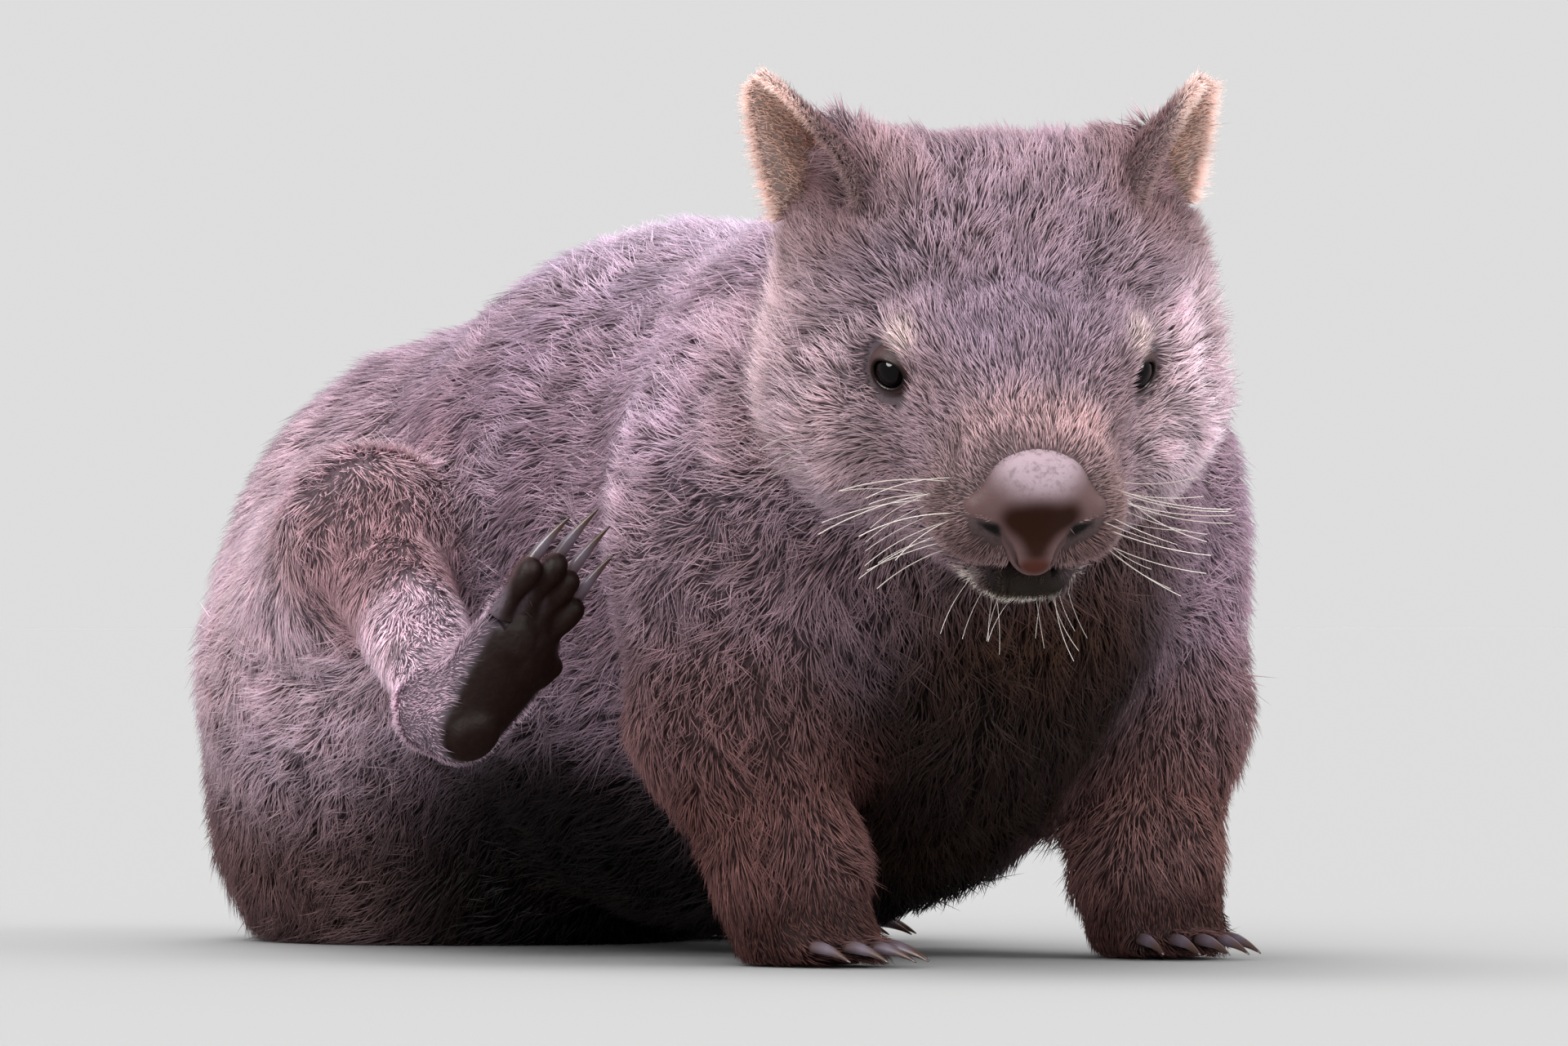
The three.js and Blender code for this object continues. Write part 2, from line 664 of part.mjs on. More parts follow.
const headParts = [headCut.inner, neckCut.inner];
const headSolid = within(moulded(body, headLow, headHigh, 16.5), ...headParts);
const faceParts = [muzzleRegion.outer, jawRegion.outer];
addNode("head", clearOf(headSolid, ...faceParts, ...earSockets, ...eyeSockets), faceCoat());
const muzzleSolid = moulded(bodyWithoutJaw, [-220, -290, 120], [-30, -130, 320], 11.5);
const muzzlePart = within(muzzleSolid, muzzleRegion.inner);
addNode("muzzle", clearOf(muzzlePart, nosePart.outer, ...eyeSockets), faceCoat());
const jawSolid = moulded(bodyWithoutSkull, [-220, -290, 90], [10, -90, 290], 10);
addNode("lower_jaw", clearOf(within(jawSolid, ...headParts, jawRegion.inner), nosePart.outer), faceCoat());
addNode("nose", clearOf(nosePart.inner, nostrils), bareSkin());
ears.forEach((ear) => addNode(`ear_${sideName(ear.side)}`, earSolid(ear), faceCoat()));
both((side) => {
  addNode(`eye_${sideName(side)}`, eyeball(side), eyeFinish());
  addNode(`eyelids_${sideName(side)}`, lidSolid(side), bareSkin());
});

const foreOuter = foreRegions.map((region) => region.outer);
const limbOuter = [...foreOuter, raisedRegion.outer, foldedRegion.outer];
const neckSolid = within(moulded(body, [-250, -220, 60], [190, 140, 420], 26), neckCut.inner);
addNode("neck", clearOf(neckSolid, headCut.outer, ...foreOuter, ...earSockets), backCoat());
const torsoSolid = within(moulded(body, [-230, -150, -40], [230, 330, 400], 42), floor);
addNode("torso", clearOf(torsoSolid, neckCut.outer, rumpCut.outer, ...limbOuter), backCoat());
const rumpSolid = within(moulded(body, [-230, 270, -30], [230, 610, 380], 42), floor, rumpCut.inner);
addNode("rump", clearOf(rumpSolid, ...limbOuter, tailCut.outer), backCoat());
addNode("tail", within(moulded(body, [-50, 500, 20], [50, 600, 130], 12), tailCut.inner), backCoat());

foreLegs.forEach((leg, i) => {
  const name = sideName(leg.side);
  const [left, right] = [leg.side * 130 - 130, leg.side * 130 + 130];
  const region = foreRegions[i];
  const upper = within(moulded(core, [left, -120, 90], [right, 190, 360], 26), region.inner);
  const neighbours = [elbowCut.outer, neckCut.outer, ...hindClaws(raisedFoot, -1, gap)];
  addNode(`upper_foreleg_${name}`, clearOf(upper, ...neighbours), legCoat());
  const lower = moulded(core, [left, -100, 20], [right, 150, 140], 18);
  const forearm = clearOf(within(lower, region.inner, elbowCut.inner), wristCut.outer);
  addNode(`forearm_${name}`, forearm, legCoat());
  const frame = footOnFloor(leg);
  const sole = moulded(core, [left, -100, -30], [right, 80, 60], 12.6);
  const foot = within(sole, region.inner, wristCut.inner, floor);
  addNode(`forefoot_${name}`, clearOf(foot, ...foreClaws(frame, gap)), legCoat());
  foreClaws(frame, 0).forEach((claw, k) =>
    addNode(`fore_claw_${name}_${k + 1}`, within(claw, floor), horn()),
  );
});

function hindLeg({ name, field, side, region, knee, ankle, thighBox, shankBox, footBox, frame }) {
  const thigh = moulded(field, ...thighBox, 32);
  addNode(`thigh_${name}`, clearOf(within(thigh, region.inner, floor), knee.outer), legCoat());
  const shank = moulded(field, ...shankBox, 17);
  addNode(`shank_${name}`, clearOf(within(shank, region.inner, floor, knee.inner), ankle.outer), legCoat());
  const foot = within(moulded(field, ...footBox, 12.5), region.inner, floor, ankle.inner);
  addNode(`hindfoot_${name}`, clearOf(foot, ...hindClaws(frame, side, gap)), legCoat());
  hindClaws(frame, side, 0).forEach((claw, k) =>
    addNode(`hind_claw_${name}_${clawedDigits[k]}`, within(claw, floor), horn()),
  );
}

hindLeg({
  name: "right",
  field: body,
  side: -1,
  region: raisedRegion,
  knee: raisedKneeCut,
  ankle: raisedAnkleCut,
  thighBox: [[-290, 150, -20], [-10, 520, 320]],
  shankBox: [[-280, 70, 50], [-110, 330, 270]],
  footBox: [[-270, 10, 50], [-130, 190, 230]],
  frame: raisedFoot,
});
hindLeg({
  name: "left",
  field: body,
  side: 1,
  region: foldedRegion,
  knee: foldedKneeCut,
  ankle: foldedAnkleCut,
  thighBox: [[20, 150, 40], [290, 520, 290]],
  shankBox: [[40, 200, 10], [230, 460, 110]],
  footBox: [[60, 230, -30], [200, 440, 60]],
  frame: foldedFoot,
});

// The group is set so that the middle of the animal's footprint box is the origin
const bounds = new THREE.Box3().setFromObject(group);
const middle = bounds.getCenter(vec(0, 0, 0));
group.position.set(-middle.x, -middle.y, -bounds.min.z);

export default group;
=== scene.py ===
from math import cos, pi, radians, sin

import bmesh
import bpy
import numpy as np
from mathutils import Matrix, Vector


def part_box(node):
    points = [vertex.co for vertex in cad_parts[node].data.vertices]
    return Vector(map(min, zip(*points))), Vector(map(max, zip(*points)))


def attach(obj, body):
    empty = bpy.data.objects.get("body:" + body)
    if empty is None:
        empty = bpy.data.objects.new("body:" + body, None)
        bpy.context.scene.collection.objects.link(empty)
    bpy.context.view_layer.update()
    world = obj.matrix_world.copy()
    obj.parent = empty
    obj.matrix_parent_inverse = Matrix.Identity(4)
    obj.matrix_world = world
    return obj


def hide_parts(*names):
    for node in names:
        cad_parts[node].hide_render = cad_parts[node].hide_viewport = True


# A bare-nosed wombat that sits and scratches. The sculpt is in millimetres, with +X to the animal's left and
# -Y ahead of it. Each form is a function from points to signed distances, negative inside.

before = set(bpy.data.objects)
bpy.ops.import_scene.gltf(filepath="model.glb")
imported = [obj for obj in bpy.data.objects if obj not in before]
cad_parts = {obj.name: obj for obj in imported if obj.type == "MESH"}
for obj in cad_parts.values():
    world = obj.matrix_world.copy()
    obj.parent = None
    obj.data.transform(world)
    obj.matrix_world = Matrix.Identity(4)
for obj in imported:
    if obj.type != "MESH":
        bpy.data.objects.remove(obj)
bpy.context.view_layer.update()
sides = (("right", -1), ("left", 1))


# Rounded forms

def ellipsoid(centre, radii):
    centre, radii = np.array(centre, float), np.array(radii, float)

    def distance(p):
        q = (p - centre) / radii
        near = np.linalg.norm(q, axis=1)
        return near * (near - 1) / np.maximum(np.linalg.norm(q / radii, axis=1), 1e-9)

    return distance


def taper(a, b, radiusA, radiusB):
    a, b = np.array(a, float), np.array(b, float)
    line = b - a

    def distance(p):
        along = np.clip((p - a) @ line / (line @ line), 0, 1)
        gone = p - a - along[:, None] * line
        return np.linalg.norm(gone, axis=1) - radiusA - (radiusB - radiusA) * along

    return distance


def smoothMin(a, b, reach):
    h = np.maximum(reach - np.abs(a - b), 0) / reach
    return np.minimum(a, b) - h * h * reach / 4


def blend(reach, *forms):
    def distance(p):
        total = forms[0](p)
        for form in forms[1:]:
            total = smoothMin(total, form(p), reach)
        return total

    return distance


def carve(reach, form, *cuts):
    def distance(p):
        total = form(p)
        for cut in cuts:
            total = -smoothMin(-total, cut(p), reach)
        return total

    return distance


def placed(matrix, form):
    turn, origin = matrix[:3, :3], matrix[:3, 3]
    return lambda p: form((p - origin) @ turn)


# The form is only worked out inside a box, because the rest of the animal is far from it
def onlyIn(low, high, form):
    low, high = np.array(low, float), np.array(high, float)

    def distance(p):
        inside = ((p > low) & (p < high)).all(axis=1)
        total = np.full(len(p), 900.0)
        if inside.any():
            total[inside] = form(p[inside])
        return total

    return distance


# From 1 inside a form to 0 outside it, over a reach
def fade(distance, reach):
    t = np.clip(0.5 - distance / reach, 0, 1)
    return t * t * (3 - 2 * t)


def both(make):
    return [make(-1), make(1)]


def unit(v):
    v = np.array(v, float)
    return v / np.linalg.norm(v, axis=-1, keepdims=True)


def frameAt(origin, forward, up):
    z = unit(up)
    x = unit(np.cross(-np.array(forward, float), z))
    matrix = np.eye(4)
    matrix[:3, :3] = np.stack([x, np.cross(z, x), z], axis=1)
    matrix[:3, 3] = origin
    return matrix


def through(matrix, p):
    return np.asarray(p, float) @ matrix[:3, :3].T + matrix[:3, 3]


# Head, in its own frame: the origin is midway between the eyes, +X left, +Y towards the nape, +Z up

head = {
    "origin": (-85, -150, 276),
    "yaw": 27,  # degrees, towards the animal's right
    "pitch": 30,  # degrees, nose down
    "eyeSpacing": 110,
    "eyeRadius": 9,
    "low": (-290, -330, 60),  # the box that holds the head
    "high": (150, 90, 450),
}
headTurn = Matrix.Rotation(-radians(head["yaw"]), 4, "Z") @ Matrix.Rotation(radians(head["pitch"]), 4, "X")
headFrame = np.array(Matrix.Translation(head["origin"]) @ headTurn)


def eyePoint(side):
    return np.array((side * head["eyeSpacing"] / 2, 2, 0), float)


# The eye looks along -Y of this frame
def eyeLook(side):
    return headFrame @ frameAt(eyePoint(side), (side * 0.6, -0.74, 0.3), (0, 0, 1))


skull = blend(
    20,
    *both(lambda side: ellipsoid((side * 38, 80, 8), (60, 66, 60))),
    ellipsoid((0, 80, 14), (60, 62, 60)),
    taper((-46, 92, 38), (-80, 94, 78), 30, 11),
    taper((46, 92, 42), (70, 91, 74), 30, 12),
    ellipsoid((0, 12, -2), (58, 56, 42)),
    *both(lambda side: ellipsoid((side * 44, 0, 17), (17, 22, 12))),
    *both(lambda side: taper((side * 18, 0, -10), (side * 13, -60, -15), 37, 23)),
    *both(lambda side: ellipsoid((side * 58, 48, -34), (50, 60, 54))),
    *both(lambda side: ellipsoid((side * 20, -62, -38), (23, 26, 22))),
    *both(lambda side: taper((side * 34, -4, -44), (side * 22, -56, -44), 24, 18)),
)
jaw = blend(
    18,
    *both(lambda side: taper((side * 30, 34, -66), (side * 10, -62, -62), 38, 19)),
    *both(lambda side: ellipsoid((side * 52, 46, -52), (42, 50, 46))),
)


def eyeSocket(side):
    return ellipsoid((side * (head["eyeSpacing"] / 2 + 8), -7, -1), (13, 14, 11))


# The line of the mouth is a thin slot that follows the solids' cut and goes a few millimetres deep
mouth = {"corner": -34, "thickness": 1.6, "depth": 6}


def mouthLine(p):
    return p[:, 2] - (-61 + 0.08 * (p[:, 1] + 96))


plainHead = blend(14, skull, jaw)


def mouthSlot(p):
    sheet = np.abs(mouthLine(p)) - mouth["thickness"]
    return np.maximum(np.maximum(sheet, -plainHead(p) - mouth["depth"]), p[:, 1] - mouth["corner"])


carvedHead = carve(5, carve(8, plainHead, *both(eyeSocket)), mouthSlot)

nosePad = blend(
    10,
    ellipsoid((0, -75, -14), (23, 18, 15)),
    *both(lambda side: taper((side * 12, -77, -19), (side * 27, -79, -26), 9, 5.5)),
    *both(lambda side: taper((side * 18, -77, -28), (side * 4, -84, -45), 9, 6)),
    taper((0, -80, -26), (0, -86, -46), 15, 7),
    ellipsoid((0, -85.5, -49), (6, 7, 5.5)),
)


# A nostril is a slit from the pad's wing down to its tip: places along it, each with the slit's radius there
slit = [((32, -77, -26), 0.6), ((25, -84, -32), 1.5), ((19, -88, -34), 2.4), ((13, -90, -42), 1.9),
        ((6, -91, -50), 1.1), ((0, -90, -55), 0.7)]


def nostril(side):
    stretches = []
    for (a, radiusA), (b, radiusB) in zip(slit, slit[1:]):
        stretches.append(taper((side * a[0], *a[1:]), (side * b[0], *b[1:]), radiusA, radiusB))
    return blend(1.5, *stretches)


# Trunk

trunk = blend(
    46,
    ellipsoid((0, 58, 217), (140, 138, 155)),
    ellipsoid((0, 225, 187), (144, 190, 173)),
    ellipsoid((0, 396, 161), (150, 152, 151)),
    ellipsoid((0, 420, 72), (144, 134, 124)),
    ellipsoid((20, 150, 110), (110, 150, 96)),
)
neck = taper((0, 44, 226), through(headFrame, (0, 100, -44)), 128, 92)

# Fore limbs

foreLegs = [
    {"side": -1, "shoulder": (-94, 42, 200), "elbow": (-112, 36, 118), "wrist": (-98, 10, 44), "toeIn": 10},
    {"side": 1, "shoulder": (111, 40, 206), "elbow": (128, 32, 118), "wrist": (109, 8, 44), "toeIn": 8},
]


def footOnFloor(leg):
    turn = Matrix.Rotation(-leg["side"] * radians(leg["toeIn"]), 4, "Z")
    return np.array(Matrix.Translation((leg["wrist"][0], leg["wrist"][1], 0)) @ turn)


def foreToe(i):
    spread = i - 2
    return (spread * 9.5, -26, 12), (spread * 11.5, -(52 - 3.6 * spread * spread), 8.5), 8.2


def foreLimb(leg):
    (sx, sy, sz), (wx, wy, wz) = leg["shoulder"], leg["wrist"]
    return blend(
        26,
        ellipsoid((sx, sy, sz), (69, 66, 104)),
        taper((sx + leg["side"] * 6, sy, 186), leg["elbow"], 56, 47),
        taper(leg["elbow"], leg["wrist"], 47, 34),
        taper(leg["wrist"], (wx, wy - 6, 18), 33, 27),
    )


def toesOf(toes):
    return [taper(base, tip, radius + 1, radius) for base, tip, radius in toes]


pawForm = blend(7, ellipsoid((0, -12, 16), (29, 34, 22)), *toesOf([foreToe(i) for i in range(5)]))

# Hind limbs: the right one is raised to scratch, the left one is folded under the flank

raisedFoot = frameAt((-223, 105, 92), (0.427, -0.348, 0.835), (0.021, 0.927, 0.376))
raised = {"hip": (-84, 385, 140), "knee": (-172, 262, 202), "ankle": through(raisedFoot, (0, -24, 34))}
folded = {"hip": (92, 392, 140), "knee": (124, 286, 92), "ankle": (124, 372, 34)}
foldedFoot = frameAt((128, 396, 0), (0.08, -1, 0), (0, 0, 1))


def hindToe(digit, side):
    inward, spread = -side, 3 - digit
    short = digit == 1
    tip = (inward * spread * 11.5, -[64, 92, 102, 106, 98][digit - 1], 12 if short else 9)
    return (inward * spread * 9, -58, 13), tip, 6.5 if short else 8


def hindToes(side):
    return [hindToe(digit, side) for digit in range(1, 6)]


def hindForm(side, reach=7, thinner=0):
    toes = [(base, tip, radius - thinner) for base, tip, radius in hindToes(side)]
    return blend(
        reach,
        ellipsoid((0, -19, 15), (20, 21, 16)),
        ellipsoid((0, -50, 15), (26, 44, 17)),
        *toesOf(toes),
    )


# Pads under the raised foot: one at each toe's end, a broad one behind them and one at the heel
def padRelief(p):
    toes = [ellipsoid(np.add(tip, (0, 3, -5)), (6, 8, 6)) for _, tip, _ in hindToes(-1)]
    ball = [ellipsoid((8, -64, 0), (13, 11, 8)), ellipsoid((-10, -66, 0), (12, 10, 8))]
    pads = blend(2, *toes, *ball, ellipsoid((3, -14, 0), (14, 14, 8)))
    return fade(placed(raisedFoot, pads)(p), 9)


raisedLeg = onlyIn((-310, -20, 20), (-60, 340, 300), blend(
    12,
    taper(raised["knee"], raised["ankle"], 32, 22),
    placed(raisedFoot, blend(12, hindForm(-1, 3.5, 1.2), taper((0, -26, 22), (0, -16, 36), 19, 21))),
))
core = blend(
    14,
    blend(
        28,
        blend(40, trunk, neck),
        *[foreLimb(leg) for leg in foreLegs],
        taper(raised["hip"], raised["knee"], 92, 48),
        taper(folded["hip"], folded["knee"], 88, 54),
    ),
    taper(folded["knee"], folded["ankle"], 46, 30),
    onlyIn((30, 200, -60), (230, 470, 110), placed(foldedFoot, hindForm(1))),
    *[onlyIn((leg["side"] * 110 - 90, -110, -60), (leg["side"] * 110 + 90, 110, 110),
             placed(footOnFloor(leg), pawForm)) for leg in foreLegs],
    taper((0, 532, 92), (0, 558, 74), 16, 9),
)
headInPlace = onlyIn(head["low"], head["high"], placed(headFrame, carvedHead))
body = blend(9, blend(26, core, headInPlace), raisedLeg)

# The sculpt's place in the row frame comes from the left eye's node
eyeLow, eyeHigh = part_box("eye_left")
rowShift = np.array(eyeLow + eyeHigh) * 500 - through(headFrame, eyePoint(1))


def toRow(p):
    return (np.asarray(p, float) + rowShift) / 1000


# Meshing

def slopeOf(form, p, step=0.5):
    slope = np.empty_like(p)
    for axis in range(3):
        shift = np.zeros(3)
        shift[axis] = step
        slope[:, axis] = (form(p + shift) - form(p - shift)) / (2 * step)
    return slope


# Moves points onto the level of the form, where the level may differ from point to point
def settle(form, p, levelOf, turns, farthest):
    for _ in range(turns):
        slope = slopeOf(form, p)
        steep = np.maximum((slope ** 2).sum(axis=1), 0.2)
        move = np.clip((form(p) - levelOf(p)) / steep, -farthest, farthest)
        p = p - slope * move[:, None]
    return p


# Surface nets: one point in each cell that the surface crosses, and a quad across each crossed edge
def netOf(form, low, high, cell):
    axes = [np.arange(low[i], high[i] + cell, cell) for i in range(3)]
    grid = np.stack(np.meshgrid(*axes, indexing="ij"), axis=-1)
    shape = np.array(grid.shape[:3])
    values = form(grid.reshape(-1, 3)).reshape(shape)
    cells = shape - 1

    def corner(array, offset):
        return array[tuple(slice(start, start + size) for start, size in zip(offset, cells))]

    offsets = [(i, j, k) for i in (0, 1) for j in (0, 1) for k in (0, 1)]
    count = sum(corner(values < 0, offset).astype(int) for offset in offsets)
    mixed = (count > 0) & (count < 8)
    number = np.full(tuple(cells), -1)
    number[mixed] = np.arange(mixed.sum())
    total, hits = np.zeros((mixed.sum(), 3)), np.zeros(mixed.sum())
    for axis in range(3):
        for offset in offsets:
            if offset[axis]:
                continue
            end = tuple(offset[i] + (i == axis) for i in range(3))
            a, b = corner(values, offset)[mixed], corner(values, end)[mixed]
            crossed = (a < 0) != (b < 0)
            share = np.where(crossed, a / np.where(crossed, a - b, 1), 0)
            at = np.tile(np.array(offset, float), (len(a), 1))
            at[:, axis] += share
            total += at * crossed[:, None]
            hits += crossed
    points = grid[:-1, :-1, :-1][mixed] + total / hits[:, None] * cell
    quads = []
    for axis in range(3):
        u, w = (axis + 1) % 3, (axis + 2) % 3
        start = [slice(0, None)] * 3
        stop = [slice(0, None)] * 3
        start[axis], stop[axis] = slice(0, -1), slice(1, None)
        a, b = values[tuple(start)] < 0, values[tuple(stop)] < 0
        crossings = np.argwhere(a != b)
        sideways = crossings[:, [u, w]]
        crossings = crossings[((sideways > 0) & (sideways < cells[[u, w]])).all(axis=1)]
        inward = b[tuple(crossings.T)]
        ring = []
        for stepU, stepW in ((0, 0), (-1, 0), (-1, -1), (0, -1)):
            place = crossings.copy()
            place[:, u] += stepU
            place[:, w] += stepW
            ring.append(number[tuple(place.T)])
        ring = np.stack(ring, axis=1)
        ring[inward] = ring[inward][:, ::-1]
        quads.append(ring)
    return points, np.concatenate(quads)


def meshFrom(name, points, faces, smooth=True):
    mesh = bpy.data.meshes.new(name)
    faces = np.asarray(faces, np.int32)
    mesh.vertices.add(len(points))
    mesh.vertices.foreach_set("co", np.asarray(points, np.float32).ravel())
    mesh.loops.add(faces.size)
    mesh.loops.foreach_set("vertex_index", faces.ravel())
    mesh.polygons.add(len(faces))
    mesh.polygons.foreach_set("loop_start", np.arange(0, faces.size, faces.shape[1], dtype=np.int32))
    mesh.update(calc_edges=True)
    if smooth:
        mesh.shade_smooth()
    piece = bpy.data.objects.new(name, mesh)
    bpy.context.scene.collection.objects.link(piece)
    return piece


def addAttribute(mesh, name, values, kind="FLOAT", field="value"):
    layer = mesh.attributes.new(name, kind, "POINT")
    layer.data.foreach_set(field, np.asarray(values, np.float32).ravel())


def addTint(mesh, tint):
    addAttribute(mesh, "tint", np.column_stack([tint, np.ones(len(tint))]), "FLOAT_COLOR", "color")


def pointsOf(mesh):
    co = np.empty(len(mesh.vertices) * 3, np.float32)
    mesh.vertices.foreach_get("co", co)
    return co.reshape(-1, 3).astype(float)


# Where things are, as masks of the forms

def headLocal(p):
    return (p - headFrame[:3, 3]) @ headFrame[:3, :3]


def onHead(form):
    return lambda p: form(headLocal(p))


def alongShank(share):
    return np.array(raised["knee"]) * (1 - share) + np.array(raised["ankle"]) * share


soleOfRaised = placed(raisedFoot, lambda p: np.maximum(p[:, 2] - 10, np.maximum(-150 - p[:, 1], p[:, 1] - 4)))
nearRaisedFoot = placed(raisedFoot, ellipsoid((0, -52, 18), (46, 78, 34)))
toesOfRaised = placed(raisedFoot, blend(3, *[ellipsoid(tip, (8, 15, 8)) for _, tip, _ in hindToes(-1)]))


# A place on each side of the head
def headPair(name, make):
    return {name + "Right": onHead(make(-1)), name + "Left": onHead(make(1))}


places = {
    "head": onHead(ellipsoid((0, 26, -8), (120, 124, 96))),
    "face": onHead(ellipsoid((0, -22, -18), (74, 76, 66))),
    "muzzle": onHead(ellipsoid((0, -66, -34), (48, 34, 34))),
    "noseRim": onHead(nosePad),
    "chin": onHead(ellipsoid((0, -58, -88), (36, 50, 26))),
    **headPair("eye", lambda side: ellipsoid(eyePoint(side) + (side * 5, -8, 0), (15, 17, 12))),
    "browRight": onHead(ellipsoid((-53, -11, 19), (6.5, 9, 6))),
    "browLeft": onHead(ellipsoid((51, -11, 19), (6.5, 9, 6))),
    "forehead": onHead(ellipsoid((0, -6, 24), (46, 40, 26))),
    **headPair("noseSide", lambda side: ellipsoid((side * 25, -80, -42), (11, 12, 10))),
    "slits": onHead(blend(1, *both(nostril))),
    **headPair("ruff", lambda side: ellipsoid((side * 98, 80, -22), (34, 56, 78))),
    **headPair("cheek", lambda side: ellipsoid((side * 82, 30, -30), (44, 60, 46))),
    "crown": onHead(ellipsoid((0, 70, 60), (90, 70, 40))),
    "noseBridge": onHead(ellipsoid((0, -62, -2), (36, 16, 15))),
    "earRootRight": onHead(ellipsoid((-76, 74, 46), (42, 40, 40))),
    "earRootLeft": onHead(ellipsoid((74, 74, 46), (42, 40, 40))),
    "mouthGap": onHead(lambda p: np.maximum(np.abs(mouthLine(p)) - 2.6, p[:, 1] - mouth["corner"])),
    "lipShade": onHead(ellipsoid((0, -81, -69), (23, 20, 9))),
    "cleft": onHead(taper((0, -86, -52), (0, -84, -62), 1.4, 1.4)),
    "lipFringe": onHead(blend(2, *both(lambda side: taper((0, -74, -79), (side * 25, -62, -73), 3.6, 3)))),
    "chest": ellipsoid((0, -20, 110), (96, 100, 110)),
    "chestTop": ellipsoid((-20, -60, 200), (80, 70, 60)),
    "belly": ellipsoid((0, 190, 20), (130, 220, 80)),
    "bellySide": ellipsoid((-120, 200, 40), (74, 134, 80)),
    "upperArmRight": taper((-94, 30, 190), (-112, 30, 118), 66, 56),
    "forearmRight": taper((-112, 36, 110), (-98, 0, 10), 56, 52),
    "forearmLeft": taper((128, 32, 110), (109, 0, 10), 56, 52),
    "forefootRight": ellipsoid((-98, -26, 14), (52, 60, 26)),
    "forefootLeft": ellipsoid((109, -28, 14), (52, 60, 26)),
    "shoulderRight": ellipsoid((-130, 50, 250), (60, 90, 90)),
    "shoulderLeft": ellipsoid((150, 40, 240), (60, 90, 90)),
    "back": ellipsoid((0, 230, 400), (150, 300, 90)),
    "flank": ellipsoid((-170, 250, 110), (60, 130, 80)),
    "lowRump": ellipsoid((0, 430, 40), (190, 170, 90)),
    "thigh": taper((-100, 400, 170), raised["knee"], 96, 56),
    "raisedShank": taper(raised["knee"], raised["ankle"], 40, 30),
    "innerThigh": taper(alongShank(0.1), alongShank(0.5), 40, 34),
    "shankPale": taper(alongShank(0.66), alongShank(1.1), 32, 34),
    "raisedFoot": nearRaisedFoot,
    "raisedSole": lambda p: np.maximum(soleOfRaised(p), nearRaisedFoot(p)),
    "raisedToes": toesOfRaised,
    "foldedShank": taper((124, 286, 80), (124, 372, 24), 52, 36),
    "foldedFoot": ellipsoid((130, 340, 16), (46, 84, 28)),
}


def maskOf(name, p, reach):
    if name.endswith("*"):
        return np.maximum(maskOf(name[:-1] + "Right", p, reach), maskOf(name[:-1] + "Left", p, reach))
    return fade(places[name](p), reach)


# Coat: each row is a place, how softly it ends, and the tufts' length, width, depth, spacing and looseness
# there, in millimetres but for the last. The spacing is then scaled to the tufts allowed. Later rows lie over
# earlier ones.
coatColumns = ["length", "width", "depth", "spacing", "sway"]
coat = [
    ("", 0, (15, 0.95, 8, 2.4, 1.8)),
    ("belly", 60, (18, 1.2, 8, 3.4, 1.5)),
    ("chest", 50, (18, 1.0, 8.5, 2.6, 1.6)),
    ("forearm*", 40, (15, 1.0, 6, 2.4, 1.2)),
    ("head", 40, (12.5, 0.85, 5, 1.75, 1.2)),
    ("cheek*", 40, (14, 0.75, 6, 1.7, 1.2)),
    ("ruff*", 30, (20, 0.8, 9, 1.7, 1.7)),
    ("earRoot*", 30, (12, 0.7, 4.5, 1.45, 1.3)),
    ("face", 24, (9, 0.68, 3.4, 1.5, 0.9)),
    ("muzzle", 20, (6, 0.55, 2.3, 1.3, 0.7)),
    ("eye*", 10, (4.5, 0.48, 1.4, 1.15, 0.4)),
    ("noseRim", 8, (3.5, 0.42, 1.3, 1.15, 0.5)),
    ("lipShade", 6, (3.5, 0.5, 1.3, 1.3, 0.8)),
    ("lipFringe", 4, (10, 0.45, 3.5, 0.9, 1.4)),
    ("forefoot*", 20, (9, 0.8, 3, 2.1, 0.9)),
    ("raisedShank", 20, (12, 0.8, 4.5, 1.9, 0.9)),
    ("foldedShank", 20, (15, 1.0, 5, 3.0, 1.2)),
    ("raisedFoot", 16, (6.5, 0.55, 2.2, 1.4, 0.6)),
    ("foldedFoot", 16, (8, 0.8, 2.4, 2.3, 0.8)),
    ("raisedToes", 8, (4, 0.45, 1.2, 1.3, 0.5)),
]


def coatAt(p, key):
    column = coatColumns.index(key)
    value = np.full(len(p), float(coat[0][2][column]))
    for place, reach, row in coat[1:]:
        mask = maskOf(place, p, reach)
        value = value * (1 - mask) + row[column] * mask
    return value


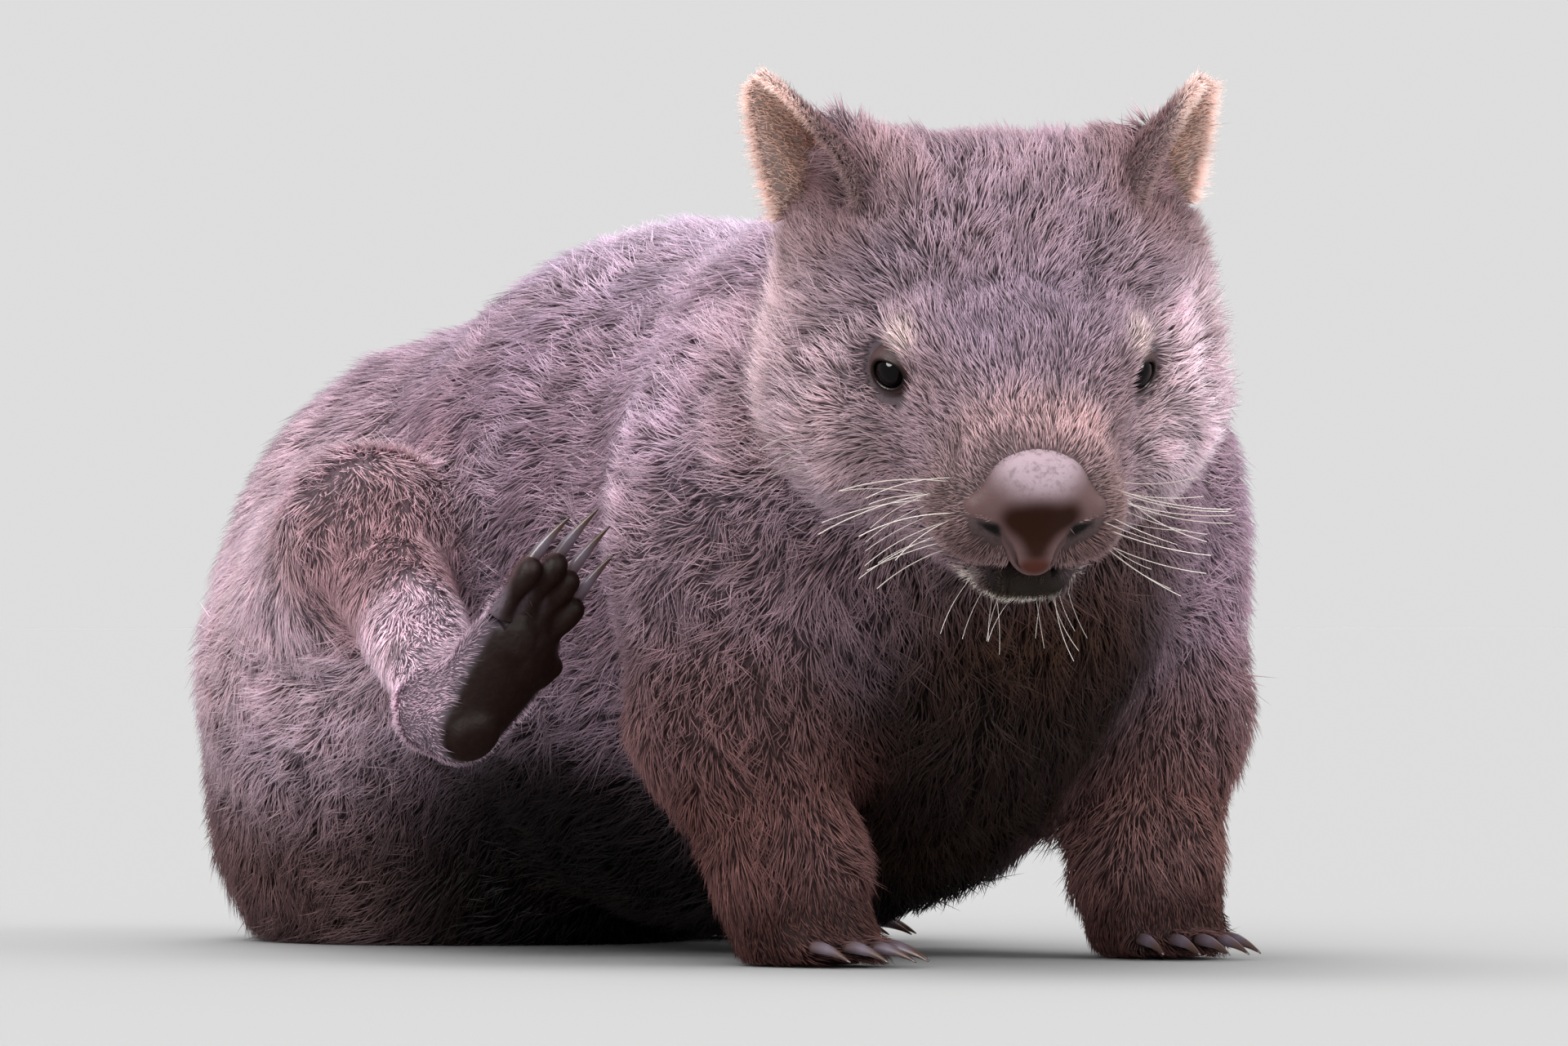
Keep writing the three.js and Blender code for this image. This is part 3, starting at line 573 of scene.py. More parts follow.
# Markings and painted shading, as sRGB colours out of 255: the rows so noted paint shade or light into the
# colour. Later rows lie over earlier ones.
markingsAndPaintedShading = [
    ("", 0, 1.0, (164, 143, 160)),
    ("back", 120, 0.8, (196, 181, 203)),
    ("flank", 60, 0.8, (210, 189, 208)),
    ("shoulderRight", 80, 0.7, (188, 167, 186)),
    ("shoulderLeft", 80, 0.8, (186, 162, 182)),
    # Painted shade: the rump darkened low down, near the floor
    ("lowRump", 120, 0.9, (104, 80, 78)),
    ("thigh", 70, 0.8, (220, 198, 210)),
    # Painted shade: the belly and the lower right side darkened almost to black, as the shade under the body
    ("belly", 80, 0.97, (20, 14, 11)),
    ("bellySide", 60, 0.97, (16, 11, 9)),
    ("upperArmRight", 50, 0.75, (128, 104, 108)),
    # Painted shade: the chest low between the forelegs darkened, as the shade under the head and body
    ("chest", 70, 0.95, (40, 28, 19)),
    ("chestTop", 60, 0.7, (78, 54, 42)),
    ("forearmRight", 50, 0.95, (111, 77, 73)),
    ("forearmLeft", 50, 0.95, (128, 94, 89)),
    ("forefoot*", 30, 0.9, (78, 51, 48)),
    ("head", 60, 0.9, (160, 142, 154)),
    ("crown", 60, 0.7, (146, 126, 138)),
    ("earRoot*", 30, 0.6, (148, 122, 124)),
    ("cheekRight", 40, 0.7, (196, 176, 186)),
    # Painted light: the left cheek made lighter than the right one, for the side of the face away from the
    # key lamp
    ("cheekLeft", 40, 0.8, (236, 218, 230)),
    ("ruff*", 30, 0.5, (176, 155, 162)),
    ("face", 40, 0.6, (156, 134, 142)),
    ("forehead", 30, 0.75, (140, 124, 142)),
    ("muzzle", 30, 0.9, (134, 112, 110)),
    ("noseBridge", 18, 0.8, (180, 152, 156)),
    ("noseSide*", 12, 0.7, (98, 76, 78)),
    # Painted shade: the chin's underside darkened, as the shade under the head
    ("chin", 30, 0.85, (34, 26, 15)),
    ("eye*", 8, 0.8, (150, 124, 118)),
    ("brow*", 11, 0.8, (236, 218, 220)),
    ("lipShade", 6, 0.9, (50, 42, 31)),
    ("lipFringe", 4, 0.95, (250, 246, 240)),
    # Painted shade: the mouth's line, the cleft under the nose and the nostril slits darkened, as the shade
    # in these creases
    ("mouthGap", 2, 1.0, (30, 21, 17)),
    ("cleft", 2, 1.0, (26, 18, 15)),
    ("slits", 2.2, 1.0, (22, 13, 11)),
    ("innerThigh", 40, 0.75, (178, 136, 142)),
    ("raisedShank", 20, 0.5, (176, 148, 158)),
    ("shankPale", 34, 0.95, (234, 214, 232)),
    ("raisedFoot", 20, 0.7, (176, 155, 172)),
    # Painted shade: the folded left leg and foot darkened, as the shade under the flank
    ("foldedShank", 30, 0.8, (62, 46, 44)),
    ("foldedFoot", 20, 0.9, (56, 40, 36)),
    ("raisedToes", 8, 0.8, (108, 62, 56)),
    ("raisedSole", 9, 1.0, (34, 19, 15)),
]


def linear(colour):
    c = np.array(colour, float) / 255
    return np.where(c <= 0.04045, c / 12.92, ((c + 0.055) / 1.055) ** 2.4)


def tintAt(p):
    tint = np.tile(linear(markingsAndPaintedShading[0][3]), (len(p), 1))
    for place, reach, strength, colour in markingsAndPaintedShading[1:]:
        mask = (maskOf(place, p, reach) * strength)[:, None]
        tint = tint * (1 - mask) + linear(colour) * mask
    return tint


# The lie of the coat: strokes from one point to another, each felt within its reach
strokes = [
    ((0, -20, 370), (0, 420, 330), 150),
    ((-150, 60, 250), (-160, 380, 150), 110),
    ((150, 60, 250), (160, 380, 150), 110),
    ((0, 440, 300), (0, 570, 40), 110),
    ((-120, 440, 200), (-150, 490, 0), 90),
    ((120, 440, 200), (150, 490, 0), 90),
    ((0, 60, 40), (0, 300, 10), 70),
    ((-30, -70, 190), (0, -50, 40), 80),
    ((-120, -90, 260), (-130, 60, 260), 90),
    ((70, -60, 280), (130, 70, 260), 90),
    ((-165, 20, 250), (-150, 56, 110), 70),
    ((180, 20, 250), (170, 50, 110), 70),
    ((-112, 36, 118), (-98, 10, 20), 60),
    ((128, 32, 118), (109, 8, 20), 60),
    ((-98, 0, 30), (-98, -60, 4), 34),
    ((109, 0, 30), (109, -60, 4), 34),
    ((-110, 440, 240), (-190, 270, 200), 105),
    (raised["knee"], raised["ankle"], 56),
    (through(raisedFoot, (0, 0, 20)), through(raisedFoot, (0, -110, 16)), 44),
    ((150, 420, 190), (185, 290, 90), 80),
    (folded["knee"], folded["ankle"], 44),
    (through(foldedFoot, (0, 0, 20)), through(foldedFoot, (0, -110, 10)), 36),
]


def lieAt(p, normal):
    lie = np.tile((0.0, 0.02, -0.015), (len(p), 1))
    for a, b, reach in strokes:
        a, b = np.array(a, float), np.array(b, float)
        away = taper(a, b, 0, 0)(p)
        lie += np.exp(-(away / reach) ** 2)[:, None] * unit(b - a)
    local = headLocal(p)
    fromNose = unit(local - (0, -84, -26)) + (0, 0.35, 0)
    onFace = fade(places["head"](p), 50)[:, None]
    lie = unit(lie) * (1 - onFace) + unit(fromNose) @ headFrame[:3, :3].T * onFace
    for side in (-1, 1):
        away = p - through(headFrame, eyePoint(side))
        lie += 2.2 * np.exp(-((away ** 2).sum(axis=1)) / 17 ** 2)[:, None] * unit(away)
    lie -= (lie * normal).sum(axis=1)[:, None] * normal
    return unit(lie + 1e-9)


# Skin

skin = {
    "cell": 9.2,
    "low": (-320, -310, -16),
    "high": (250, 610, 440),
    "floorGap": 1.2,  # the soles and the seat stay this far above the floor
    "islandMargin": 0.002,
    "inset": 4,  # the net lies this far inside the form, but just outside it round the raised toes
    "toeGrowth": 5,
    "padHeight": 2.4,
    "flesh": ["head", "muzzle", "lower_jaw", "neck", "torso", "rump", "tail"]
    + [f"{part}_{side}" for part in ("upper_foreleg", "forearm", "forefoot", "thigh", "shank", "hindfoot")
       for side, _ in sides],
}


def skinLevel(p):
    return -coatAt(p, "depth") + skin["padHeight"] * padRelief(p)


# The skin's net is halved all over, then again on the face and feet, then again on the muzzle, round the eyes
# and on the raised foot
def onDetail(co):
    onFront = (places["head"](co) < -6) & (headLocal(co)[:, 1] < 90)
    onFeet = (nearRaisedFoot(co) < 4) | (places["forefootRight"](co) < 2) | (places["forefootLeft"](co) < 2)
    return onFront | onFeet


def onMuzzle(co):
    near = np.minimum(places["muzzle"](co), np.minimum(places["eyeRight"](co), places["eyeLeft"](co)))
    return (near < 2) | (nearRaisedFoot(co) < 2)


def makeSkin():
    def drawnIn(p):
        inset = skin["inset"] - skin["toeGrowth"] * fade(toesOfRaised(p) - 8, 8)
        return np.maximum(body(p) + inset, skin["floorGap"] - p[:, 2])

    points, quads = netOf(drawnIn, skin["low"], skin["high"], skin["cell"])
    piece = meshFrom("skin", points, quads)
    bpy.context.view_layer.objects.active = piece
    piece.select_set(True)
    piece.data.uv_layers.new(name="OFBake")
    bpy.ops.object.mode_set(mode="EDIT")
    bpy.ops.mesh.select_all(action="SELECT")
    bpy.ops.uv.smart_project(angle_limit=radians(66), island_margin=skin["islandMargin"])
    bpy.ops.object.mode_set(mode="OBJECT")
    work = bmesh.new()
    work.from_mesh(piece.data)
    for refined in (lambda co: np.full(len(co), True), onDetail, onMuzzle):
        inside = refined(np.array([v.co for v in work.verts]))
        work.verts.index_update()
        edges = [e for e in work.edges if inside[e.verts[0].index] and inside[e.verts[1].index]]
        bmesh.ops.subdivide_edges(work, edges=edges, cuts=1, use_grid_fill=True)
    bmesh.ops.triangulate(work, faces=work.faces[:])
    work.to_mesh(piece.data)
    work.free()
    p = settle(body, pointsOf(piece.data), skinLevel, 5, 4)
    p[:, 2] = np.maximum(p[:, 2], skin["floorGap"])
    return piece, p


print("skin: net, unwrap and fine surface")
skinPiece, skinPoints = makeSkin()
skinNormals = unit(slopeOf(body, skinPoints))
print("skin:", len(skinPoints), "points,", len(skinPiece.data.polygons), "faces")


# Shader tools: an expression on values adds its own Math nodes

class Value:
    def __init__(self, tree, socket):
        self.tree, self.socket = tree, socket

    def maths(self, operation, a, b=None):
        node = self.tree.nodes.new("ShaderNodeMath")
        node.operation = operation
        for slot, item in enumerate((a, b)):
            if isinstance(item, Value):
                self.tree.links.new(item.socket, node.inputs[slot])
            elif item is not None:
                node.inputs[slot].default_value = item
        return Value(self.tree, node.outputs[0])

    def __add__(self, other):
        return self.maths("ADD", self, other)

    def __sub__(self, other):
        return self.maths("SUBTRACT", self, other)

    def __rsub__(self, other):
        return self.maths("SUBTRACT", other, self)

    def __mul__(self, other):
        return self.maths("MULTIPLY", self, other)

    def __pow__(self, other):
        return self.maths("POWER", self, other)

    __radd__, __rmul__ = __add__, __mul__

    def clamped(self):
        return self.maths("MINIMUM", self.maths("MAXIMUM", self, 0.0), 1.0)


class Finish:
    def __init__(self, name, **fixed):
        self.material = bpy.data.materials.new(name)
        self.material.use_nodes = True
        self.tree = self.material.node_tree
        self.shader = self.tree.nodes["Principled BSDF"]
        for socket, value in fixed.items():
            self.shader.inputs[socket.replace("_", " ")].default_value = value

    # Adds a node: its settings first, then the values or links of its sockets
    def node(self, kind, settings=None, **sockets):
        made = self.tree.nodes.new("ShaderNode" + kind)
        for name, value in (settings or {}).items():
            if name == "stops":
                self.setStops(made.color_ramp, value)
            else:
                setattr(made, name, value)
        for name, value in sockets.items():
            self.feed(made.inputs[int(name[1:]) if name[1:].isdigit() else name.replace("_", " ")], value)
        return made

    def setStops(self, ramp, stops):
        while len(ramp.elements) < len(stops):
            ramp.elements.new(0.5)
        for element, (at, colour) in zip(ramp.elements, stops):
            element.position, element.color = at, (*linear(colour), 1)

    def feed(self, socket, value):
        if isinstance(value, Value):
            self.tree.links.new(value.socket, socket)
        elif isinstance(value, bpy.types.NodeSocket):
            self.tree.links.new(value, socket)
        else:
            socket.default_value = value

    def value(self, socket):
        return Value(self.tree, socket)

    def attribute(self, name):
        return self.node("Attribute", {"attribute_name": name})

    def objectPlace(self, scale):
        place = self.node("TexCoord").outputs["Object"]
        return self.node("Mapping", Vector=place, Scale=scale).outputs["Vector"]

    def noise(self, scale, detail, stretch=(1, 1, 1)):
        place = self.objectPlace(stretch)
        made = self.node("TexNoise", Vector=place, Scale=scale, Detail=detail, Roughness=0.55)
        return self.value(made.outputs["Fac"])

    def mix(self, factor, a, b, kind="MIX"):
        made = self.node("Mix", {"data_type": "RGBA", "blend_type": kind}, i0=factor, i6=a, i7=b)
        return made.outputs[2]

    def times(self, colour, other):
        return self.mix(1.0, colour, other, "MULTIPLY")

    def grey(self, level):
        return self.node("CombineColor", None, Red=level, Green=level, Blue=level).outputs["Color"]

    def ramp(self, factor, stops):
        return self.node("ValToRGB", {"stops": stops}, Fac=factor).outputs["Color"]

    def bump(self, height, strength, distance):
        return self.node("Bump", None, Height=height, Strength=strength, Distance=distance).outputs["Normal"]

    def set(self, **sockets):
        for name, value in sockets.items():
            self.feed(self.shader.inputs[name.replace("_", " ")], value)
        return self.material


def white(level):
    return (level, level, level, 1)


# Fur: dark at the root and pale at the tip, each tuft a little lighter or darker than the next
furLook = {
    "cool": (0.97, 0.99, 1.03, 1),  # broad patches run from the cool tint to the warm one
    "warm": (1.03, 0.95, 0.88, 1),
    "root": (1.0, 0.92, 0.87, 1),
    "tip": white(2.3),
    "tipShare": 0.6,
    "lightness": 1.7,
}


def furFinish():
    fur = Finish("fur", Specular_IOR_Level=0.05)
    tint = fur.attribute("tint").outputs["Color"]
    along = fur.value(fur.attribute("along").outputs["Fac"])
    strand = fur.value(fur.attribute("strand").outputs["Fac"])
    patches, warm = fur.noise(38, 3), fur.noise(17, 2)
    warmed = fur.mix(warm, fur.times(tint, furLook["cool"]), fur.times(tint, furLook["warm"]))
    warmed = fur.mix(along, fur.times(warmed, furLook["root"]), warmed)
    shade = (0.22 + 1.15 * along) * (0.4 + 1.2 * strand) * (0.6 + 0.8 * patches) * furLook["lightness"]
    shaded = fur.times(warmed, fur.grey(shade))
    tipped = fur.mix(along ** 3 * strand * furLook["tipShare"], shaded, fur.times(tint, furLook["tip"]))
    return fur.set(Base_Color=tipped, Roughness=0.72 - 0.2 * along)


# Skin under the fur: the same markings and painted shading, darker as painted shade deep in the coat, with
# the streaks of the coat's roots. Bare skin keeps its own colour.
def skinFinish():
    under = Finish("skin", Specular_IOR_Level=0.05)
    tint = under.attribute("tint").outputs["Color"]
    bare = under.value(under.attribute("bare").outputs["Fac"])
    streaks, creases = under.noise(900, 2), under.noise(260, 4)
    # Painted shade: under the fur the tint is darkened to between 0.3 and 0.6 of itself, standing in for the
    # shade between the tufts
    shade = (0.30 + 0.3 * streaks) * (1 - bare) + (0.55 + 0.9 * creases) * bare
    colour = under.times(tint, under.grey(shade))
    return under.set(Base_Color=colour, Roughness=0.85 - 0.3 * bare,
                     Normal=under.bump(streaks * (1 - bare) + creases * bare, 0.5, 0.001))


# Coat

def triangleCorners(mesh):
    corners = np.empty(len(mesh.polygons) * 3, np.int32)
    mesh.polygons.foreach_get("vertices", corners)
    uv = np.empty(len(mesh.loops) * 2, np.float32)
    mesh.uv_layers["OFBake"].data.foreach_get("uv", uv)
    return corners.reshape(-1, 3), uv.reshape(-1, 3, 2)


# Smooth random vectors: a lattice of draws, read between its points
class Drift:
    def __init__(self, rng, pitch, count=64):
        self.lattice, self.pitch, self.count = rng.normal(size=(count, count, count, 3)), pitch, count

    def at(self, p):
        q = p / self.pitch
        low = np.floor(q).astype(int)
        t = q - low
        t = t * t * (3 - 2 * t)
        total = np.zeros((len(p), 3))
        for offset in ((i, j, k) for i in (0, 1) for j in (0, 1) for k in (0, 1)):
            weight = np.prod([t[:, i] if offset[i] else 1 - t[:, i] for i in range(3)], axis=0)
            cell = (low + offset) % self.count
            total += weight[:, None] * self.lattice[cell[:, 0], cell[:, 1], cell[:, 2]]
        return total


# A count of roots spread over the triangles, closer where the coat's spacing is smaller
def scatter(rng, p, corners, uv, spacing, count):
    a, b, c = (p[corners[:, i]] for i in range(3))
    area = np.linalg.norm(np.cross(b - a, c - a), axis=1) / 2
    wanted = np.cumsum(area / spacing[corners].mean(axis=1) ** 2)
    marks = (np.arange(count) + rng.random(count)) * wanted[-1] / count
    chosen = np.minimum(np.searchsorted(wanted, marks), len(corners) - 1)
    u, v = rng.random((2, count))
    over = u + v > 1
    u[over], v[over] = 1 - u[over], 1 - v[over]
    weights = np.stack([1 - u - v, u, v], axis=1)

    def blended(values):
        return (values[corners[chosen]] * weights[:, :, None]).sum(axis=1)

    return blended, (uv[chosen] * weights[:, :, None]).sum(axis=1)


tuft = {
    "sides": 3,
    "widest": 0.38,  # share of the length at which the tuft is full
    "patch": 0.003,  # size on the bake's map
    "sink": 0.8,  # millimetres the root starts below the skin
    "ruffLift": 8,  # millimetres that the hair behind the cheeks stands out further
    "floorGap": 0.3,
    "total": 226000,
    "quickShare": 0.15,
    "piece": 32000,  # most tufts in one piece
    "drifts": ((34, 0.13), (10, 0.16), (4.5, 0.14)),  # millimetres between bends of the lie, and their share
    "stray": 0.09,
    "clearOfEye": 13.5,  # no tuft reaches this near an eye's centre
    "clearOfView": 18,  # or this near in front of it
}


# Each tuft is a thin closed spindle with a bend. Roots, directions, lengths and widths come in as arrays.
def tuftMesh(name, roots, lie, up, length, width, rise, sway, rootUv, tint, strand):
    count, n = len(roots), tuft["sides"]
    across = np.cross(lie, up)

    def centreAt(t):
        height = rise * (1.6 * t - 0.6 * t * t) - tuft["sink"] * (1 - t)
        return roots + lie * (length * t)[:, None] + up * height[:, None] + sway * (length * t * t)[:, None]

    rows, along, sideways = [centreAt(0.0)], [0.0], [0.5]
    for turn in np.arange(n) * 2 * pi / n + pi / 2:
        rim = (across * cos(turn) + up * sin(turn) * 0.6) * (width / 2)[:, None]
        rows.append(centreAt(tuft["widest"]) + rim)
        along.append(tuft["widest"])
        sideways.append(0.5 + 0.5 * cos(turn))
    rows.append(centreAt(1.0))
    along.append(1.0)
    sideways.append(0.5)
    points = np.stack(rows, axis=1)
    points[:, :, 2] = np.maximum(points[:, :, 2], tuft["floorGap"])
    size = n + 2
    faces = []
    for k in range(n):
        a, b = 1 + k, 1 + (k + 1) % n
        faces += [(0, b, a), (a, b, n + 1)]
    faces = np.array(faces)[None] + np.arange(count)[:, None, None] * size
    piece = meshFrom(name, toRow(points.reshape(-1, 3)), faces.reshape(-1, 3))
    mesh = piece.data
    addAttribute(mesh, "along", np.tile(along, count))
    addAttribute(mesh, "strand", np.repeat(strand, size))
    addTint(mesh, np.repeat(tint, size, axis=0))
    patch = np.stack([np.array(sideways), np.array(along)], axis=1) * tuft["patch"]
    perPoint = (rootUv[:, None] + patch[None] - tuft["patch"] / 2).reshape(-1, 2)
    layer = mesh.uv_layers.new(name="OFBake")
    layer.data.foreach_set("uv", perPoint[faces.reshape(-1)].astype(np.float32).ravel())
    return piece


# Tufts whose tip would hang over an open eye are left out
def overEye(tips):
    over = np.full(len(tips), False)
    for side in (-1, 1):
        look = eyeLook(side)[:3, 1] * -1
        away = tips - through(headFrame, eyePoint(side))
        reach = np.linalg.norm(away, axis=1)
        inView = (reach < tuft["clearOfView"]) & ((away @ look) > 0.45 * reach)
        over |= inView | (reach < tuft["clearOfEye"])
    return over


def makeCoat(rng, p, normals):
    corners, uv = triangleCorners(skinPiece.data)
    lie = lieAt(p, normals)
    look = np.column_stack([coatAt(p, key) for key in ("length", "width", "depth", "sway", "spacing")])
    bare = np.maximum.reduce([maskOf("raisedSole", p, 8), maskOf("mouthGap", p, 1),
                              fade(places["slits"](p) - 1.5, 1.5),
                              fade(places["noseRim"](p) + 1.5, 1), fade(p[:, 2] - 3.5, 1)])
    look[:, 4] = look[:, 4] / np.maximum(1 - bare, 1e-3)
    count = int(tuft["total"] * (1))
    blended, rootUv = scatter(rng, p, corners, uv, look[:, 4], count)
    roots, up, flow, tints = blended(p), unit(blended(normals)), unit(blended(lie)), blended(tintAt(p))
    length, width, depth, loose, _ = blended(look).T
    drifts = [Drift(rng, pitch).at(roots) for pitch, _ in tuft["drifts"]]
    clumps = drifts[1]
    sway = sum(share * drift for (_, share), drift in zip(tuft["drifts"], drifts))
    sway += tuft["stray"] * rng.normal(size=(count, 3))
    sway -= (sway * up).sum(axis=1)[:, None] * up
    sway *= loose[:, None]
    flow = unit(flow + 0.7 * sway)
    strand = np.clip(0.5 + 0.17 * clumps[:, 0] + 0.22 * rng.normal(size=count), 0, 1)
    size = rng.uniform(0.7, 1.1, count) + 0.35 * (strand > 0.85)
    rise = depth * np.clip(rng.uniform(0.65, 1.3, count) + 0.2 * clumps[:, 1], 0.35, 1.6)
    rise += tuft["ruffLift"] * maskOf("ruff*", roots, 30) * rng.random(count)
    length = length * size
    tips = roots + flow * length[:, None] + up * rise[:, None]
    hidden = overEye(tips) | overEye(roots)
    print("coat:", count, "tufts,", hidden.sum(), "left out over the eyes")
    regions = {
        "coatFace": places["face"](roots) < 0,
        "coatHead": places["head"](roots) < 0,
        "coatRaisedLeg": (raisedLeg(roots) < 6) & (roots[:, 1] < 300),
        "coatForelegs": (roots[:, 2] < 130) & (roots[:, 1] < 90),
        "coatRump": roots[:, 1] > 330,
        "coatNeck": roots[:, 1] < 90,
        "coatTrunk": np.full(count, True),
    }
    perTuft = (roots, flow, up, length, width, rise, sway, rootUv, tints, strand)
    pieces, left = [], ~hidden
    for name, inside in regions.items():
        chosen = np.flatnonzero(inside & left)
        left[chosen] = False
        chosen = chosen[np.argsort(roots[chosen, 0])]
        parts = int(np.ceil(len(chosen) / tuft["piece"]))
        for number, part in enumerate(np.array_split(chosen, parts)):
            title = name if parts == 1 else f"{name}_{number + 1}"
            pieces.append(tuftMesh(title, *[values[part] for values in perTuft]))
            print("coat:", pieces[-1].name, len(part))
    return pieces


# A closed surface through rings of points. Round joins the last ring to the first, and otherwise strips close
# the ends.
def loftFaces(count, sides, round=False):
    r, k = np.meshgrid(np.arange(count if round else count - 1), np.arange(sides), indexing="ij")
    a, b = r * sides + k, r * sides + (k + 1) % sides
    after = (r + 1) % count * sides
    c, d = after + (k + 1) % sides, after + k
    faces = [np.stack([a, b, c], axis=-1).reshape(-1, 3), np.stack([a, c, d], axis=-1).reshape(-1, 3)]
    if not round:
        k = np.arange(sides // 2 - 1)
        a, b, c, d = k, k + 1, sides - 2 - k, sides - 1 - k
        end = (count - 1) * sides
        faces += [np.stack(corners, axis=-1) for corners in ((a, d, c), (a, c, b))]
        faces += [np.stack(corners, axis=-1) + end for corners in ((a, b, c), (a, c, d))]
    return np.concatenate(faces)


def facedOut(points, faces):
    a, b, c = (points[faces[:, i]] for i in range(3))
    volume = (a * np.cross(b, c)).sum()
    return faces if volume > 0 else faces[:, ::-1]


def loft(name, groups, round=False):
    points, faces, start = [], [], 0
    for rings in groups:
        rings = np.asarray(rings, float)
        flat = rings.reshape(-1, 3)
        points.append(flat)
        faces.append(facedOut(flat, loftFaces(rings.shape[0], rings.shape[1], round)) + start)
        start += len(flat)
    return meshFrom(name, toRow(np.concatenate(points)), np.concatenate(faces))


def dress(piece, material, slot, *nodes):
    piece.data.materials.append(material)
    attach(piece, "root")
    if nodes:
        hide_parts(*nodes)


# Nose: the bare pad with its slit nostrils, dusty on the dome and dark below. The dome is also lightened as
# painted light from above, and the dark leather below and the slits are darkened further as painted shade.
nose = {
    "cell": 1.25,
    "low": (-42, -108, -68),
    "high": (42, -50, 10),
    "fleck": (92, 68, 68),
    "marks": [  # form, reach and colour, from the pad's own to its slits: the second is the dusty dome with painted light, the third and the slits are painted shade
        (None, 0, (116, 90, 90)),
        # The dome: dust, lightened also as painted light from above
        (ellipsoid((0, -79, -4), (20, 24, 13)), 18, (188, 165, 175)),
        # Painted shade: the pad's lower part, dark leather darkened further where it faces down
        (blend(6, taper((-9, -92, -27), (13, -92, -26), 8, 8), taper((0, -92, -28), (0, -94, -41), 13, 6)), 9,
         (46, 22, 13)),
        (ellipsoid((0, -92, -49), (7, 10, 4.5)), 4, (84, 46, 38)),
        # Painted shade in the nostril slits
        (blend(1, *both(nostril)), 5, (18, 11, 9)),
    ],
}


def noseFinish():
    leather = Finish("nose", Specular_IOR_Level=0.05)
    tint = leather.attribute("tint").outputs["Color"]
    dust = leather.value(leather.attribute("dust").outputs["Fac"])
    grain, specks = leather.noise(900, 2), leather.noise(330, 6)
    flecked = leather.mix(dust * (specks * 7.0 - 3.5).clamped() * 0.4, tint, (*linear(nose["fleck"]), 1))
    return leather.set(Base_Color=flecked, Roughness=0.45 + 0.3 * dust,
                       Normal=leather.bump(grain + 0.6 * specks, 0.35, 0.0006))


def makeNose():
    form = carve(1.5, nosePad, *both(nostril))
    points, quads = netOf(form, nose["low"], nose["high"], nose["cell"])
    points = settle(form, points, lambda p: np.zeros(len(p)), 4, 0.6)
    tint = np.tile(linear(nose["marks"][0][2]), (len(points), 1))
    for mark, reach, colour in nose["marks"][1:]:
        mask = fade(mark(points), reach)[:, None]
        tint = tint * (1 - mask) + linear(colour) * mask
    piece = meshFrom("noseLeather", toRow(through(headFrame, points)), quads)
    addTint(piece.data, tint)
    dome, reach, _ = nose["marks"][1]
    addAttribute(piece.data, "dust", fade(dome(points), reach))
    dress(piece, noseFinish(), "bare_skin", "nose")


# Eyes and lids
eye = {
    "around": 64,
    "rows": 40,
    "ball": (8, 4, 4),
    "lidEdge": (30, 19, 17),
    "lidSkin": (92, 68, 68),
    "opening": (44, 9, 4),  # degrees from its look to the lids' edge, more at the sides, less at the top
    # Round a lid: degrees, 1 where they count from the edge, millimetres from the centre, share of rim's tone
    "section": [
        (0, 1, 9.5, 1), (66, 0, 9.5, 0), (88, 0, 9.5, 0), (88, 0, 12.5, 0), (80, 0, 12.4, 0),
        (70, 0, 11.9, 0), (12, 1, 11.9, 0), (7, 1, 11.3, 0.15), (4, 1, 11.2, 0.6), (1, 1, 11.0, 0.9),
        (-1, 1, 10.6, 1), (-1.6, 1, 10.0, 1),
    ],
}


# A direction from the eye's centre: tilted from where it looks, and turned about that line
def fromEye(tilt, turn):
    sideways = np.sin(tilt)
    return np.stack([sideways * np.cos(turn), -np.cos(tilt) + 0 * turn, sideways * np.sin(turn)], axis=-1)


def makeEyes():
    gloss = Finish("eyeGloss", Base_Color=(*linear(eye["ball"]), 1), Roughness=0.04, Specular_IOR_Level=0.12)
    lidSkin = Finish("lidSkin", Specular_IOR_Level=0.1)
    rim = lidSkin.value(lidSkin.attribute("rim").outputs["Fac"])
    wrinkle = lidSkin.noise(600, 3)
    colour = lidSkin.mix(rim, (*linear(eye["lidSkin"]), 1), (*linear(eye["lidEdge"]), 1))
    lidSkin.set(Base_Color=colour, Roughness=0.6 - 0.3 * rim, Normal=lidSkin.bump(wrinkle, 0.5, 0.0006))
    turn = np.arange(eye["around"])[:, None] * 2 * pi / eye["around"]
    ball = fromEye(np.linspace(0.02, pi - 0.02, eye["rows"])[:, None], turn.T) * head["eyeRadius"]
    half, wider, higher = eye["opening"]
    opening = half + wider * np.cos(turn) ** 2 - higher * np.sin(turn)
    angle, fromEdge, reach, share = np.array(eye["section"]).T
    rings = fromEye(np.radians(angle + fromEdge * opening), turn) * reach[:, None]
    for name, side in sides:
        look = eyeLook(side)
        dress(loft("eyeball_" + name, [through(look, ball)]), gloss.material, "eye", "eye_" + name)
        lids = loft("lids_" + name, [through(look, rings)], round=True)
        addAttribute(lids.data, "rim", np.tile(share, eye["around"]))
        dress(lids, lidSkin.material, "bare_skin", "eyelids_" + name)


# Ears: hollowed leaves. A place on one is t up from the base and u across, on the face towards the opening or
# behind it.
ear = {
    "width": 60,
    "foot": -0.16,  # where the root ends, below the base
    "steps": 44,
    "columns": 25,
    "shapes": {
        "right": {"base": (-76, 76, 40), "tip": (-117, 66, 115), "opening": (-0.7, -0.72, 0.1), "inward": 1},
        "left": {"base": (70, 76, 40), "tip": (87, 66, 115), "opening": (0.76, -0.65, 0.1), "inward": -1},
    },
    "taper": 0.42,
    "thickness": 3.4,
    "cup": 24,  # depth of the hollow at the base
    "drawnIn": 1.0,  # millimetres that the skin lies inside the solid's face
    "tuckedIn": 0.5,  # share of the inner half's width that its foot loses in the head's fur
    "tufts": 9000,
    "tuftWidth": 0.6,
    "quickShare": 0.3,
    "rim": (240, 222, 218),
    "inner": (216, 188, 176),
    "deep": (150, 112, 102),
    "outer": (128, 104, 108),
}


